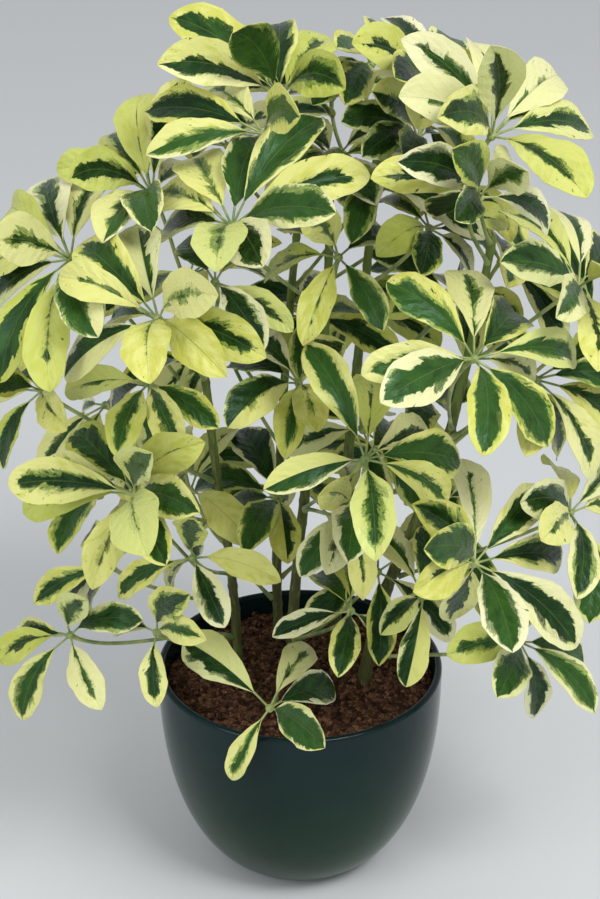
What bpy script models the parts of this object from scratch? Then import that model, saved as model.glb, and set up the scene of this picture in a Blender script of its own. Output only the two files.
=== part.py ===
"""A potted variegated schefflera: a glazed pot, its potting soil, five canes and their compound leaves.

Metres, +Z up. The origin is the centre of the pot's foot, on the surface that the pot stands on.
-Y is the side that is seen first. Each leaf is one piece: a long leaf stalk with a wheel of leaflets on
its end. A leaflet that would grow through a neighbour bends aside first, as it does on the plant.
"""

import math
import random
from collections import namedtuple

import bmesh
import bpy
from mathutils import Matrix, Vector, noise
from mathutils.bvhtree import BVHTree

MM = 0.001
GAP = 0.3 * MM
UP = Vector((0, 0, 1))

# The pot: a glazed bowl that rises from a small flat foot almost straight to its rim
POT_RADIUS = 105 * MM
POT_HEIGHT = 163 * MM
FOOT_RADIUS = 45 * MM
BELLY_RISE, BELLY_ROUND = 2.5, 0.6
WALL = 5.5 * MM
FLOOR = 9 * MM
FLOOR_ROUND = 6 * MM
LIP_DROP = 2 * MM
TURN_STEPS = 32
OUTSIDE_LEVELS = (1.0, 0.8, 0.56, 0.36, 0.2, 0.1, 0.035, 0.0)
INSIDE_LEVELS = (0.06, 0.12, 0.24, 0.44, 0.7)

# The soil fills the pot to just under the rim
SOIL_TOP = POT_HEIGHT - 15 * MM
SOIL_RINGS = (0.0, 0.3, 0.6, 0.86)
SOIL_MOUND = 4 * MM
SOIL_BUMP = 2.5 * MM
SOIL_BUMPS = 60
HOLE_ABOVE = 12 * MM
HOLE_SPARE = 3 * GAP

# The canes: the foot's radius, then points from the soil up to the growing tip, all in millimetres
CANE_TIP_RADIUS = 2.8 * MM
CANE_DEPTH = 55 * MM
CANE_POINTS = 8
CANES = {
    "left": (3.8, [(-46, 16, 147), (-50, 20, 225), (-60, 18, 310), (-66, 8, 390), (-74, -6, 468)]),
    "centre": (4.4, [(-8, 8, 147), (-2, 10, 240), (8, 8, 340), (18, 4, 440), (20, 2, 535)]),
    "middle": (4.5, [(26, 34, 147), (30, 36, 240), (36, 38, 330), (44, 34, 430), (52, 28, 545)]),
    "right": (5.2, [(46, -10, 147), (60, -14, 225), (82, -20, 290), (106, -18, 370), (128, -10, 500)]),
    "back": (4.0, [(-16, 52, 147), (-18, 64, 225), (-14, 78, 310), (-8, 92, 400), (0, 100, 485)]),
}

# The photo's view: where the camera stood and how far down it looked, then in pixels its focal length and the
# middle of the picture
CAMERA_PLACE = Vector((0, -1250, 952.4)) * MM
CAMERA_DOWN = math.radians(26.22)
FOCAL_PIXELS = 1984.9
MIDDLE_PIXEL = (300, 449.5)

# Each wheel of leaflets is its hub (x, y, z) and its leaflets, in millimetres and degrees. The cup is how far
# they stand up from the wheel's plane. Spread is by rule, with spin the first one's angle from the way out.
# Seen is a wheel in front, and its tips are the pixels where the photo shows them, read off by eye.
# A list of two wheels is two leaves whose stalks leave the cane from one foot, so they are one piece.
Spread = namedtuple("Spread", "count blade cup spin")
Seen = namedtuple("Seen", "blade cup tips")
LEAVES = {
    "left": [
        ((-98, 0, 525), Seen(74, 20, [
            (57, 170), (70, 181), (112, 133), (140, 96), (156, 108), (198, 78), (224, 223),
            (103, 243), (152, 232), (213, 172),
        ])),
        ((-149, -40, 494), Seen(78, 14, [
            (10, 207), (48, 178), (70, 202), (108, 168), (-8, 243), (-14, 272), (-10, 308),
            (0, 383), (50, 392), (98, 338),
        ])),
        ((-87, -120, 485), Seen(78, 12, [
            (138, 224), (80, 243), (58, 276), (65, 378), (150, 384), (227, 377), (267, 358),
            (218, 296), (110, 325),
        ])),
        ((-55, -50, 482), Seen(64, 6, [
            (293, 332), (265, 350), (226, 232), (181, 243), (250, 264), (175, 318),
        ])),
        ((-176, -20, 391), Seen(60, 6, [
            (67, 431), (3, 469), (-28, 412), (-20, 388), (16, 366), (62, 352),
        ])),
        ((-99, -62, 416), Seen(64, -2, [
            (117, 459), (158, 461), (219, 428), (183, 452), (64, 393), (113, 415), (190, 365),
        ])),
        ((-79, 20, 294), Seen(62, 4, [
            (238, 428), (242, 553), (183, 428), (196, 555), (140, 500),
        ])),
        ((-107, -100, 353), Seen(76, 16, [
            (22, 513), (42, 478), (75, 430), (128, 440), (153, 455), (205, 443), (200, 513),
            (166, 566), (148, 556), (92, 590), (8, 485),
        ])),
        ((-74, -56, 281), Seen(62, 6, [
            (225, 628), (282, 582), (118, 597), (172, 595), (195, 520),
        ])),
        ((-132, -34, 261), Seen(60, 8, [
            (33, 604), (68, 619), (90, 610), (150, 545), (90, 530),
        ])),
        [
            ((-165, -30, 203), Seen(60, 6, [
                (13, 645), (-2, 663), (22, 720), (102, 710), (143, 620), (88, 600),
            ])),
            ((-100, -64, 226), Seen(58, 2, [
                (157, 708), (207, 640), (190, 595), (118, 628),
            ])),
        ],
        [
            ((-142, 56, 440), Spread(6, 66, 14, 0)),
            ((-141, 54, 346), Spread(6, 58, 4, 30)),
        ],
        ((-137, 62, 283), Spread(6, 66, 8, 20)),
    ],
    "centre": [
        ((-13, 20, 583), Seen(78, 30, [
            (170, 18), (157, 65), (216, 46), (233, 37), (280, 24), (333, 39), (345, 90), (330, 118),
        ])),
        ((-23, -30, 575), Seen(74, 22, [
            (204, 88), (144, 112), (187, 123), (146, 155), (300, 118), (322, 150),
        ])),
        ((-42, -88, 534), Seen(80, 14, [
            (190, 158), (257, 137), (323, 117), (371, 175), (336, 213), (263, 267), (216, 272),
            (162, 233), (155, 196),
        ])),
        ((23, 25, 540), Spread(6, 62, 10, 0)),
        ((-1, -22, 398), Seen(68, 4, [
            (228, 366), (227, 428), (285, 460), (318, 432), (243, 332), (345, 345),
        ])),
        ((25, -34, 493), Seen(66, 4, [
            (266, 281), (303, 346), (383, 331), (281, 228), (300, 222), (395, 240),
        ])),
        [
            ((41, -130, 394), Seen(76, 14, [
                (305, 343), (263, 490), (376, 562), (460, 463), (430, 434), (447, 502), (396, 430),
                (372, 378),
            ])),
            ((34, -84, 336), Seen(64, 4, [
                (300, 577), (326, 575), (348, 563), (318, 497), (342, 466), (363, 600),
            ])),
        ],
        ((-21, -100, 187), Seen(64, 8, [
            (183, 640), (311, 646), (334, 690), (325, 748), (232, 779),
        ])),
        [
            ((35, -70, 247), Seen(58, 4, [
                (272, 637), (338, 678), (316, 574), (345, 560), (385, 650),
            ])),
            ((55, -28, 254), Spread(6, 56, 2, 0)),
        ],
        [
            ((-54, 62, 391), Spread(6, 62, 4, 10)),
            ((-15, 10, 293), Seen(64, 4, [
                (194, 490), (238, 430), (288, 564), (244, 554), (222, 520),
            ])),
        ],
    ],
    "middle": [
        ((47, 40, 601), Seen(62, 20, [
            (343, 42), (380, 25), (336, 48), (412, 92), (320, 70), (345, 105),
        ])),
        ((22, 84, 566), Spread(6, 66, 26, 0)),
        ((84, 10, 594), Seen(74, 30, [
            (384, 18), (352, 44), (450, 38), (395, 78), (470, 75), (418, 130),
        ])),
        ((77, 5, 561), Seen(62, 10, [
            (372, 92), (341, 122), (362, 157), (428, 68), (450, 100), (437, 152), (405, 165),
        ])),
        ((86, -4, 502), Seen(60, 4, [
            (376, 256), (368, 205), (421, 276), (490, 252), (484, 274), (392, 182), (500, 238),
        ])),
        ((46, 16, 527), Spread(5, 62, 10, 22)),
        [
            ((108, 62, 425), Spread(6, 62, 6, 12)),
            ((44, 0, 352), Spread(6, 60, 0, 26)),
        ],
        ((2, 40, 420), Spread(6, 62, 2, 14)),
    ],
    "right": [
        ((107, -130, 463), Seen(76, 14, [
            (380, 403), (361, 375), (386, 281), (460, 270), (515, 312), (577, 358), (548, 447),
            (484, 457), (535, 380),
        ])),
        ((153, -72, 423), Seen(74, 10, [
            (591, 477), (640, 387), (625, 440), (618, 350), (556, 458), (526, 457), (500, 345),
        ])),
        ((182, -40, 475), Seen(74, 16, [
            (500, 262), (500, 212), (548, 207), (608, 242), (630, 280), (556, 318), (598, 372),
        ])),
        ((111, -80, 550), Seen(72, 14, [
            (432, 128), (452, 150), (397, 162), (370, 178), (437, 217), (455, 220), (486, 141),
            (528, 172), (548, 232),
        ])),
        ((121, -38, 576), Seen(80, 28, [
            (401, 40), (432, 42), (470, 42), (490, 48), (557, 75), (553, 104), (592, 133),
            (587, 198), (437, 118), (422, 80),
        ])),
        ((140, 50, 458), Spread(6, 66, 16, 0)),
        ((206, 20, 425), Spread(7, 68, 12, 28)),
        ((114, -120, 313), Seen(76, 14, [
            (413, 592), (450, 620), (513, 653), (577, 648), (562, 560), (541, 489), (412, 505),
            (424, 550), (462, 458),
        ])),
        ((185, -50, 313), Seen(68, 10, [
            (520, 502), (541, 541), (577, 600), (543, 463), (605, 468), (625, 508), (606, 626),
            (589, 624),
        ])),
        ((154, -62, 217), Seen(66, 4, [
            (446, 655), (497, 698), (533, 717), (596, 714), (584, 662), (520, 590),
        ])),
        ((85, -62, 254), Seen(62, 2, [
            (380, 635), (406, 687), (373, 577), (438, 624), (400, 560),
        ])),
        [
            ((90, 40, 357), Seen(60, 2, [
                (452, 436), (412, 442), (446, 390), (398, 368), (470, 400),
            ])),
            ((102, 22, 284), Seen(58, 2, [
                (404, 548), (487, 503), (425, 590), (484, 618), (380, 500),
            ])),
        ],
    ],
    "back": [
        ((-52, 120, 520), Spread(7, 68, 20, 0)),
        ((44, 138, 482), Spread(7, 68, 16, 20)),
        ((104, 96, 500), Spread(7, 66, 14, 8)),
        ((-83, 146, 411), Spread(7, 68, 12, 30)),
        ((34, 172, 372), Spread(7, 68, 12, 12)),
        ((112, 128, 400), Spread(7, 66, 12, 0)),
        ((-92, 104, 262), Spread(7, 63, 6, 24)),
        ((70, 124, 268), Spread(7, 63, 6, 6)),
        ((-14, 136, 236), Spread(7, 60, 4, 16)),
    ],
}
FIRST_SEED = 7
OUTWARD_LEAN = 6.0
LIGHT_LEAN = 0.2

# The leaf stalk: it leaves the cane some way below its hub, outward and up, and comes up under the hub
STALK_RADIUS = 1.5 * MM
STALK_FOOT, STALK_NECK = 1.7, 1.53
STALK_POINTS = 3
STALK_STEP = 2.5 * MM
STALK_REACH = 0.62
STALK_RISE = 24 * MM
STALK_LOWEST = 25 * MM
STALK_HIGHEST = 5 * MM
STALK_OUT, STALK_UP, STALK_END = 0.18, 0.14, 0.3
STALK_DROPS = (1.0, 1.25, 0.8, 1.5, 0.62)
STALK_TURNS = (0, 25, -25, 50, -50)
SEAT_SAMPLES = 12
SEAT_FAR = 30 * MM
NEAR_FOOT = 9 * MM
STALK_CLEAR = 0.96 * MM
HUB_RADIUS = 3.4 * MM
HUB_SIDES = 5
HUB_TAPER, HUB_DEPTH = 0.8, 1.5
LEAFLET_FOOT = 0.4

# The leaflet: a short stalk of its own, then an egg-shaped blade, widest beyond its middle
LEAFLET_STALK = 0.17
BLADE_WIDTH = 0.2
BLADE_STATIONS = (0.3, 0.62, 0.87)
SMALL_STATIONS = (0.36, 0.78)
SMALL_BLADE = 72 * MM
FRONT = -30 * MM
BLADE_THICK = 1.2 * MM
BLADE_MEAN, BLADE_OUTER = 1.05, 0.1
BLADE_BASE, BLADE_POINT, BLADE_WIDEST = 1.15, 0.62, 0.3178
STALK_HALF = 0.9 * MM
LIGHT = Vector((0, -0.9, 0.44))
LIGHT_TURN = 1.5
ARCH = 0.62
DROOP = 0.34
CLEARANCE = 1.3 * MM
BEND_RISES = (0, 10, -10, 20, -20, 32, -32, 46, -46)
BEND_TURNS = (0, 8, -8, 16, -16)
BEND_SIZES = (1.0, 0.88, 0.76)
BEND_COSTS = (1 / 10, 1 / 9, 9)
OWN_CLEAR = 0.6
STRAIGHT = (0, 0, 1.0)
AIM_STEPS = 6
STRETCHES = (1, 0.94, 1.06, 0.88, 1.12, 0.82, 1.18)
STRETCH_COST = 90


def pot_radius(height):
    """The pot's outside radius at a height above the table."""
    rise = 1 - (1 - height / POT_HEIGHT) ** BELLY_RISE
    return FOOT_RADIUS + (POT_RADIUS - FOOT_RADIUS) * rise**BELLY_ROUND


def material(name, color, roughness, metallic=0.0):
    made = bpy.data.materials.new(name)
    made.use_nodes = True
    shader = made.node_tree.nodes["Principled BSDF"]
    shader.inputs["Base Color"].default_value = (*color, 1)
    shader.inputs["Roughness"].default_value = roughness
    shader.inputs["Metallic"].default_value = metallic
    return made


def add_object(name, data, collection, finish=None):
    made = bpy.data.objects.new(name, data)
    collection.objects.link(made)
    if finish:
        made.data.materials.append(finish)
    return made


def plain_mesh(source):
    """The object's evaluated shape."""
    graph = bpy.context.evaluated_depsgraph_get()
    return bpy.data.meshes.new_from_object(source.evaluated_get(graph))


def as_mesh(source, name, collection, split=False):
    """A plain mesh object in the place of the source, which is removed. Its caps are welded."""
    mesh = plain_mesh(source)
    work = bmesh.new()
    work.from_mesh(mesh)
    bmesh.ops.remove_doubles(work, verts=work.verts, dist=0.01 * MM)
    if split:
        bmesh.ops.triangulate(work, faces=work.faces)
    work.to_mesh(mesh)
    work.free()
    made = bpy.data.objects.new(name, mesh)
    made.matrix_world = source.matrix_world
    collection.objects.link(made)
    bpy.data.objects.remove(source)
    return made


def turned(name, profile, collection, finish):
    """A turned solid. The profile runs from the axis, down the outer side, and back to the axis."""
    work = bmesh.new()
    verts = [work.verts.new((radius, 0, height)) for radius, height in profile]
    for a, b in zip(verts, verts[1:]):
        work.edges.new((a, b))
    mesh = bpy.data.meshes.new(name)
    work.to_mesh(mesh)
    work.free()
    made = add_object(name, mesh, collection, finish)
    screw = made.modifiers.new("turn", "SCREW")
    screw.steps = screw.render_steps = TURN_STEPS
    screw.use_merge_vertices = True
    screw.merge_threshold = 0.01 * MM
    screw.use_smooth_shade = True
    return made


def tube(name, points, radii, sides_resolution, collection):
    """A round stem along the points, as a mesh."""
    curve = bpy.data.curves.new(name, "CURVE")
    curve.dimensions = "3D"
    curve.bevel_depth = 1.0
    curve.bevel_resolution = sides_resolution
    curve.use_fill_caps = True
    spline = curve.splines.new("POLY")
    spline.points.add(len(points) - 1)
    for place, point, radius in zip(spline.points, points, radii):
        place.co = (*point, 1)
        place.radius = radius
    return as_mesh(add_object(name + "_curve", curve, collection), name, collection, split=True)


def through(points, count):
    """count points along a smooth curve through the given ones."""
    route = [Vector(p) for p in points]
    route = [2 * route[0] - route[1], *route, 2 * route[-1] - route[-2]]
    found = []
    for i in range(count):
        place = i / (count - 1) * (len(route) - 3)
        k = min(int(place), len(route) - 4)
        t = place - k
        a, b, c, d = route[k : k + 4]
        found.append(
            0.5 * (2 * b + (c - a) * t + (2 * a - 5 * b + 4 * c - d) * t**2 + (3 * b - a - 3 * c + d) * t**3)
        )
    return found


def build_pot(collection, finish):
    inside = [(max(pot_radius(level * POT_HEIGHT) - WALL, 0), level * POT_HEIGHT) for level in INSIDE_LEVELS]
    lip = [
        (POT_RADIUS - WALL, POT_HEIGHT - LIP_DROP),
        (POT_RADIUS - 0.75 * WALL, POT_HEIGHT),
        (POT_RADIUS - 0.25 * WALL, POT_HEIGHT),
        (POT_RADIUS, POT_HEIGHT - LIP_DROP),
    ]
    outside = [(pot_radius(level * POT_HEIGHT), level * POT_HEIGHT) for level in OUTSIDE_LEVELS[1:]]
    profile = [(0, FLOOR), (inside[0][0] - FLOOR_ROUND, FLOOR), *inside, *lip, *outside, (0, 0)]
    return turned("pot", profile, collection, finish)


def build_soil(collection, holes, finish):
    """The soil fills the pot's inside under a low uneven mound, and the canes stand in holes in it."""
    inset = WALL + 2 * GAP
    side = [(pot_radius(level * POT_HEIGHT) - inset, level * POT_HEIGHT) for level in INSIDE_LEVELS[::-2]]
    edge = pot_radius(SOIL_TOP) - inset
    top = [(edge * share, SOIL_TOP) for share in (*SOIL_RINGS, 1.0)]
    floor = FLOOR + GAP
    profile = [*top, *side, (side[-1][0] - FLOOR_ROUND, floor), (0, floor)]
    made = as_mesh(turned("soil_turned", profile, collection, finish), "soil", collection)
    for vert in made.data.vertices:
        out = math.hypot(vert.co.x, vert.co.y) / edge
        if vert.co.z > SOIL_TOP - 0.5 * MM and out < 0.95:
            bump = noise.noise(vert.co * SOIL_BUMPS + Vector((3, 1, 0)))
            vert.co.z += SOIL_MOUND * (1 - out**2) + SOIL_BUMP * bump
    cut = made.modifiers.new("holes", "BOOLEAN")
    cut.operation = "DIFFERENCE"
    cut.operand_type = "COLLECTION"
    cut.collection = holes
    return made


def cane_route(name):
    """The cane's line from the bottom of its hole to its tip."""
    above = [Vector(p) * MM for p in CANES[name][1]]
    return [above[0] - UP * CANE_DEPTH, *through(above, CANE_POINTS)]


def build_cane(name, collection, holes):
    route = cane_route(name)
    share = [max(i - 1, 0) / (len(route) - 2) for i in range(len(route))]
    foot = CANES[name][0] * MM
    radii = [foot + (CANE_TIP_RADIUS - foot) * s for s in share]
    made = tube(f"cane_{name}", route, radii, 1, collection)
    hole = tube(
        f"hole_{name}",
        [route[0] - UP * 2 * GAP, route[1] + UP * HOLE_ABOVE],
        [foot + HOLE_SPARE] * 2,
        1,
        holes,
    )
    hole.hide_render = True
    hole.display_type = "WIRE"
    return made


def leaf_axis(hub):
    """The way a leaf's wheel faces: up, outward the further out it stands, and a little to the light."""
    return Vector((hub.x * OUTWARD_LEAN, hub.y * OUTWARD_LEAN - LIGHT_LEAN, 1)).normalized()


def outward(hub, axis):
    """The way out from the plant's middle, in the wheel's plane."""
    away = Vector((hub.x, hub.y, 0))
    flat = away - axis * away.dot(axis)
    return flat.normalized()


def nearest_on(route, height):
    """The point of a cane's line at a height, and the way the cane runs there."""
    for low, high in zip(route, route[1:]):
        if low.z <= height <= high.z:
            return low.lerp(high, (height - low.z) / (high.z - low.z)), (high - low).normalized()
    return route[-1].copy(), (route[-1] - route[-2]).normalized()


def seat(skin, foot, away, run):
    """Where a stalk's flat foot just clears its cane's skin, on its way out from the cane's middle."""
    side = away.cross(run)
    radius = STALK_RADIUS * STALK_FOOT
    reach = 0.0
    turns = [2 * math.pi * k / SEAT_SAMPLES for k in range(SEAT_SAMPLES)]
    for shift in (Vector(), *(side * math.cos(turn) + run * math.sin(turn) for turn in turns)):
        hit = skin.ray_cast(foot + shift * radius + away * SEAT_FAR, -away, 2 * SEAT_FAR)
        if hit[0]:
            reach = max(reach, SEAT_FAR - hit[3])
    return foot + away * (reach + GAP)


def bezier(start, a, b, end, t):
    return start * (1 - t) ** 3 + a * 3 * t * (1 - t) ** 2 + b * 3 * t**2 * (1 - t) + end * t**3


def stalk_routes(cane, skin, hub, shared=None):
    """Ways for a leaf's stalk from its cane to its hub, the likeliest first. shared is a foot that it has."""
    route = cane_route(cane)
    axis = leaf_axis(hub)
    lowest, highest = SOIL_TOP + STALK_LOWEST, route[-1].z - STALK_HIGHEST
    span = math.hypot(hub.x - route[-1].x, hub.y - route[-1].y)
    for drop in STALK_DROPS:
        for turn in STALK_TURNS:
            height = min(max(hub.z - STALK_RISE - STALK_REACH * span * drop, lowest), highest)
            foot, run = nearest_on(route, shared.z if shared else height)
            away = hub - foot
            away = (away - run * away.dot(run)).normalized()
            away = Matrix.Rotation(math.radians(turn), 3, run) @ away
            start = shared or seat(skin, foot, away, run)
            reach = (hub - start).length
            a, b = start + (away * STALK_OUT + UP * STALK_UP) * reach, hub - axis * STALK_END * reach
            line = [bezier(start, a, b, hub, i / (STALK_POINTS - 1)) for i in range(STALK_POINTS)]
            line.insert(1, start + away * STALK_STEP)
            yield line


def blade_width(u):
    """Half the blade's width along it, as a share of the widest: u is 0 at its base and 1 at its tip."""
    return u**BLADE_BASE * (1 - u) ** BLADE_POINT / BLADE_WIDEST


class Leaflet:
    """The line, size and lie of one leaflet. bend is how it has bent from its own place: rise, turn, size.

    Its blade turns its face from the way that the wheel faces towards the light.
    """

    def __init__(self, hub, axis, out, angle, lift, length, draw, bend):
        rise, turn, size = bend
        around = math.radians(angle + turn)
        self.length = length * size
        self.stalk = self.length * LEAFLET_STALK * draw["stalk"]
        self.half = self.length * BLADE_WIDTH * draw["width"]
        self.fold = math.radians(draw["fold"])
        way = out * math.cos(around) + axis.cross(out) * math.sin(around)
        lift = math.radians(lift + rise)
        self.hub = hub
        self.way = (way * math.cos(lift) + axis * math.sin(lift)).normalized()
        self.side = (axis + LIGHT * LIGHT_TURN).cross(self.way).normalized()
        self.axis = axis
        self.twist = math.radians(draw["twist"])
        self.arch = ARCH * draw["arch"]

    def frames(self, shares, steps=16):
        """(point, side, normal) at each share of the blade's length, with -1 for the foot of its stalk."""
        foot = self.hub + self.way * HUB_RADIUS * LEAFLET_FOOT
        point, way, side = self.hub + self.way * self.stalk, self.way.copy(), self.side.copy()
        walked = [(point.copy(), way.copy(), side.copy())]
        for _ in range(steps):
            way = (way - (self.axis * self.arch + UP * DROOP) / steps).normalized()
            point = point + way * self.length / steps
            side = (side - way * side.dot(way)).normalized()
            walked.append((point.copy(), way.copy(), side.copy()))
        found = []
        for share in shares:
            place = max(share, 0) * steps
            k = min(int(place), steps - 1)
            (a, way_a, side_a), (b, way_b, side_b) = walked[k : k + 2]
            point, way, side = (p.lerp(q, place - k) for p, q in ((a, b), (way_a, way_b), (side_a, side_b)))
            normal = way.cross(side).normalized()
            turn = self.twist * max(share, 0)
            across = side * math.cos(turn) + normal * math.sin(turn)
            above = normal * math.cos(turn) - side * math.sin(turn)
            found.append((foot if share < 0 else point, across, above))
        return found

    def tip(self):
        return self.frames([1.0])[0][0]

    def rings(self, spare=0.0):
        """The sections from the hub to the tip, three-cornered at the stalk and four-cornered in the blade.

        Spare thickens them, for a test of what is near.
        """
        stations = BLADE_STATIONS if self.length > SMALL_BLADE and self.hub.y < FRONT else SMALL_STATIONS
        rings = []
        for share, (point, side, normal) in zip([-1, 0], self.frames([-1, 0])):
            reach, up = side * (STALK_HALF + spare), normal * (STALK_HALF + spare)
            rings.append([point + reach + up * 0.6, point - reach + up * 0.6, point - up])
        for share, (point, side, normal) in zip(stations, self.frames(stations)):
            half = self.half * blade_width(share)
            rise = normal * half * math.sin(self.fold)
            reach = side * (half * math.cos(self.fold) + spare)
            under = normal * (BLADE_THICK + spare)
            rings.append([point + reach + rise, point + normal * spare, point - reach + rise, point - under])
        normal = self.frames([1.0])[0][2]
        return rings, self.tip() - normal * BLADE_THICK / 2


def lofted(rings, tip):
    """A closed skin over a leaflet's sections, ending in a point. Its two faces are split alike."""
    corners = [corner for ring in rings for corner in ring] + [tip]
    faces = [(0, 1, 2), (0, 3, 4, 1), (1, 4, 5, 2), (2, 5, 3, 0)]
    left, right, under = 3, 4, 5
    faces += [(left, 6, 7), (left, 7, right), (right, 7, 8), (left, 6, 9), (left, 9, under)]
    faces += [(right, 8, 9), (right, 9, under)]
    for low in range(6, len(corners) - 5, 4):
        for a, b in ((0, 1), (2, 1), (0, 3), (2, 3)):
            faces += [(low + a, low + a + 4, low + b), (low + b, low + a + 4, low + b + 4)]
    end = len(corners) - 1
    faces += [(end - 4 + a, end, end - 4 + (a + 1) % 4) for a in range(4)]
    return corners, faces


def blade_mesh(name, leaflet):
    corners, faces = lofted(*leaflet.rings())
    mesh = bpy.data.meshes.new(name)
    mesh.from_pydata(corners, [], faces)
    work = bmesh.new()
    work.from_mesh(mesh)
    bmesh.ops.recalc_face_normals(work, faces=work.faces)
    work.to_mesh(mesh)
    work.free()
    return mesh


class Taken:
    """The room that the pieces built so far take, with each one's box for a quick first test."""

    def __init__(self):
        self.pieces = []

    def add(self, owner, corners, faces):
        low, high = (Vector([pick(c[k] for c in corners) for k in range(3)]) for pick in (min, max))
        self.pieces.append((owner, low, high, BVHTree.FromPolygons(corners, faces)))

    def touches(self, corners, faces, owner=None, own=False, but=()):
        """Whether the shape touches a piece of another owner, or with own=True one of this owner."""
        low, high = (Vector([pick(c[k] for c in corners) for k in range(3)]) for pick in (min, max))
        tree = None
        for other, other_low, other_high, other_tree in self.pieces:
            if (other == owner) != own or other in but:
                continue
            if any(high[k] < other_low[k] or low[k] > other_high[k] for k in range(3)):
                continue
            tree = tree or BVHTree.FromPolygons(corners, faces)
            if tree.overlap(other_tree):
                return True
        return False


def faces_of(obj):
    corners = [obj.matrix_world @ v.co for v in obj.data.vertices]
    return corners, [tuple(p.vertices) for p in obj.data.polygons]


def evaluated_faces(obj):
    graph = bpy.context.evaluated_depsgraph_get()
    mesh = obj.evaluated_get(graph).to_mesh()
    found = [v.co.copy() for v in mesh.vertices], [tuple(p.vertices) for p in mesh.polygons]
    obj.evaluated_get(graph).to_mesh_clear()
    return found


def bends():
    """How a leaflet may bend aside: (rise, turn, size), the mildest first."""
    every = [(rise, turn, size) for rise in BEND_RISES for turn in BEND_TURNS for size in BEND_SIZES]
    rise_cost, turn_cost, size_cost = BEND_COSTS
    return sorted(every, key=lambda b: abs(b[0]) * rise_cost + abs(b[1]) * turn_cost + (1 - b[2]) * size_cost)


def build_stalk(name, cane, skin, hub, taken, collection, shared=None):
    """The leaf's stalk, along the first way that touches nothing, and the point where a second joins it."""
    for line in stalk_routes(cane, skin, hub, shared):
        shares = [STALK_FOOT, STALK_NECK, *[1] * (len(line) - 2)]
        radii = [STALK_RADIUS * share for share in shares]
        owner = "cane_" + cane
        made = tube(name + "_stalk", line, radii, 0, collection)
        test = tube(name + "_test", line, [radius + STALK_CLEAR for radius in radii], 0, collection)
        corners, faces = faces_of(test)
        bpy.data.objects.remove(test)
        # The foot is meant to be near its own cane, so that test starts a little way along the stalk
        far = [face for face in faces if min((corners[k] - line[0]).length for k in face) > NEAR_FOOT]
        if not (
            taken.touches(*faces_of(made), owner, own=True)
            or taken.touches(corners, far, owner, own=True)
            or taken.touches(corners, faces, but=(owner, name))
        ):
            return made, line[1]
        bpy.data.objects.remove(made)
    raise RuntimeError(f"{name}: no clear way for its stalk")


def draws(seed):
    """What differs from leaflet to leaflet."""
    rng = random.Random(seed)
    while True:
        yield {
            "around": rng.uniform(-6, 6),
            "size": rng.uniform(0.9, 1.06),
            "stalk": rng.uniform(0.8, 1.3),
            "width": rng.uniform(0.88, 1.1),
            "fold": rng.uniform(6, 20),
            "lift": rng.uniform(-8, 8),
            "twist": rng.uniform(-16, 16),
            "arch": rng.uniform(0.6, 1.35),
        }


def sight(pixel):
    """The way from the eye through a pixel of the photo."""
    right, up = (pixel[0] - MIDDLE_PIXEL[0]) / FOCAL_PIXELS, (MIDDLE_PIXEL[1] - pixel[1]) / FOCAL_PIXELS
    down = Matrix.Rotation(-CAMERA_DOWN, 3, "X")
    return (down @ Vector((right, 1, up))).normalized()


def aimed(hub, axis, out, pixel, wheel, own):
    """The ways (angle, lift, length) that put a leaflet's tip where the photo shows it, the likeliest first.

    Two places on the pixel's line of sight are a leaflet's reach from the hub. Where the line passes further
    off, the leaflet is longer. The likeliest way is near the usual length, and lifted as its wheel is cupped.
    """
    way = sight(pixel)
    nearest = CAMERA_PLACE + way * (hub - CAMERA_PLACE).dot(way)
    off = (nearest - hub).length
    found = []
    for stretch in STRETCHES:
        length = wheel.blade * MM * stretch
        reach = (Leaflet(hub, axis, out, 0, wheel.cup, length, own, STRAIGHT).tip() - hub).length
        length *= max(off / reach, 1)
        along = way * math.sqrt(max(reach**2 - off**2, 0))
        for tip in (nearest + along, nearest - along):
            aim = tip - hub
            for _ in range(AIM_STEPS):
                angle = math.degrees(math.atan2(aim.dot(axis.cross(out)), aim.dot(out)))
                lift = math.degrees(math.asin(aim.normalized().dot(axis)))
                aim += tip - Leaflet(hub, axis, out, angle, lift, length, own, STRAIGHT).tip()
            strain = abs(lift - wheel.cup) + STRETCH_COST * abs(length / (wheel.blade * MM) - 1)
            found.append((strain, angle, lift, length))
    return [place for _, *place in sorted(found)]


def ways(hub, axis, out, leaflets, seed):
    """For each leaflet of a wheel, the leaflets it may be: in its own place first, then the mildest bends."""
    count = leaflets.count if isinstance(leaflets, Spread) else len(leaflets.tips)
    for i, own in zip(range(count), draws(seed)):
        if isinstance(leaflets, Seen):
            places = aimed(hub, axis, out, leaflets.tips[i], leaflets, own)
        else:
            angle = 360 * i / leaflets.count + leaflets.spin + own["around"]
            outer = BLADE_MEAN + BLADE_OUTER * math.cos(math.radians(angle))
            places = [(angle, leaflets.cup + own["lift"], leaflets.blade * MM * outer * own["size"])]
        tries = [(place, STRAIGHT) for place in places] + [(places[0], bend) for bend in bends()]
        yield (Leaflet(hub, axis, out, *place, own, bend) for place, bend in tries)


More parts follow.
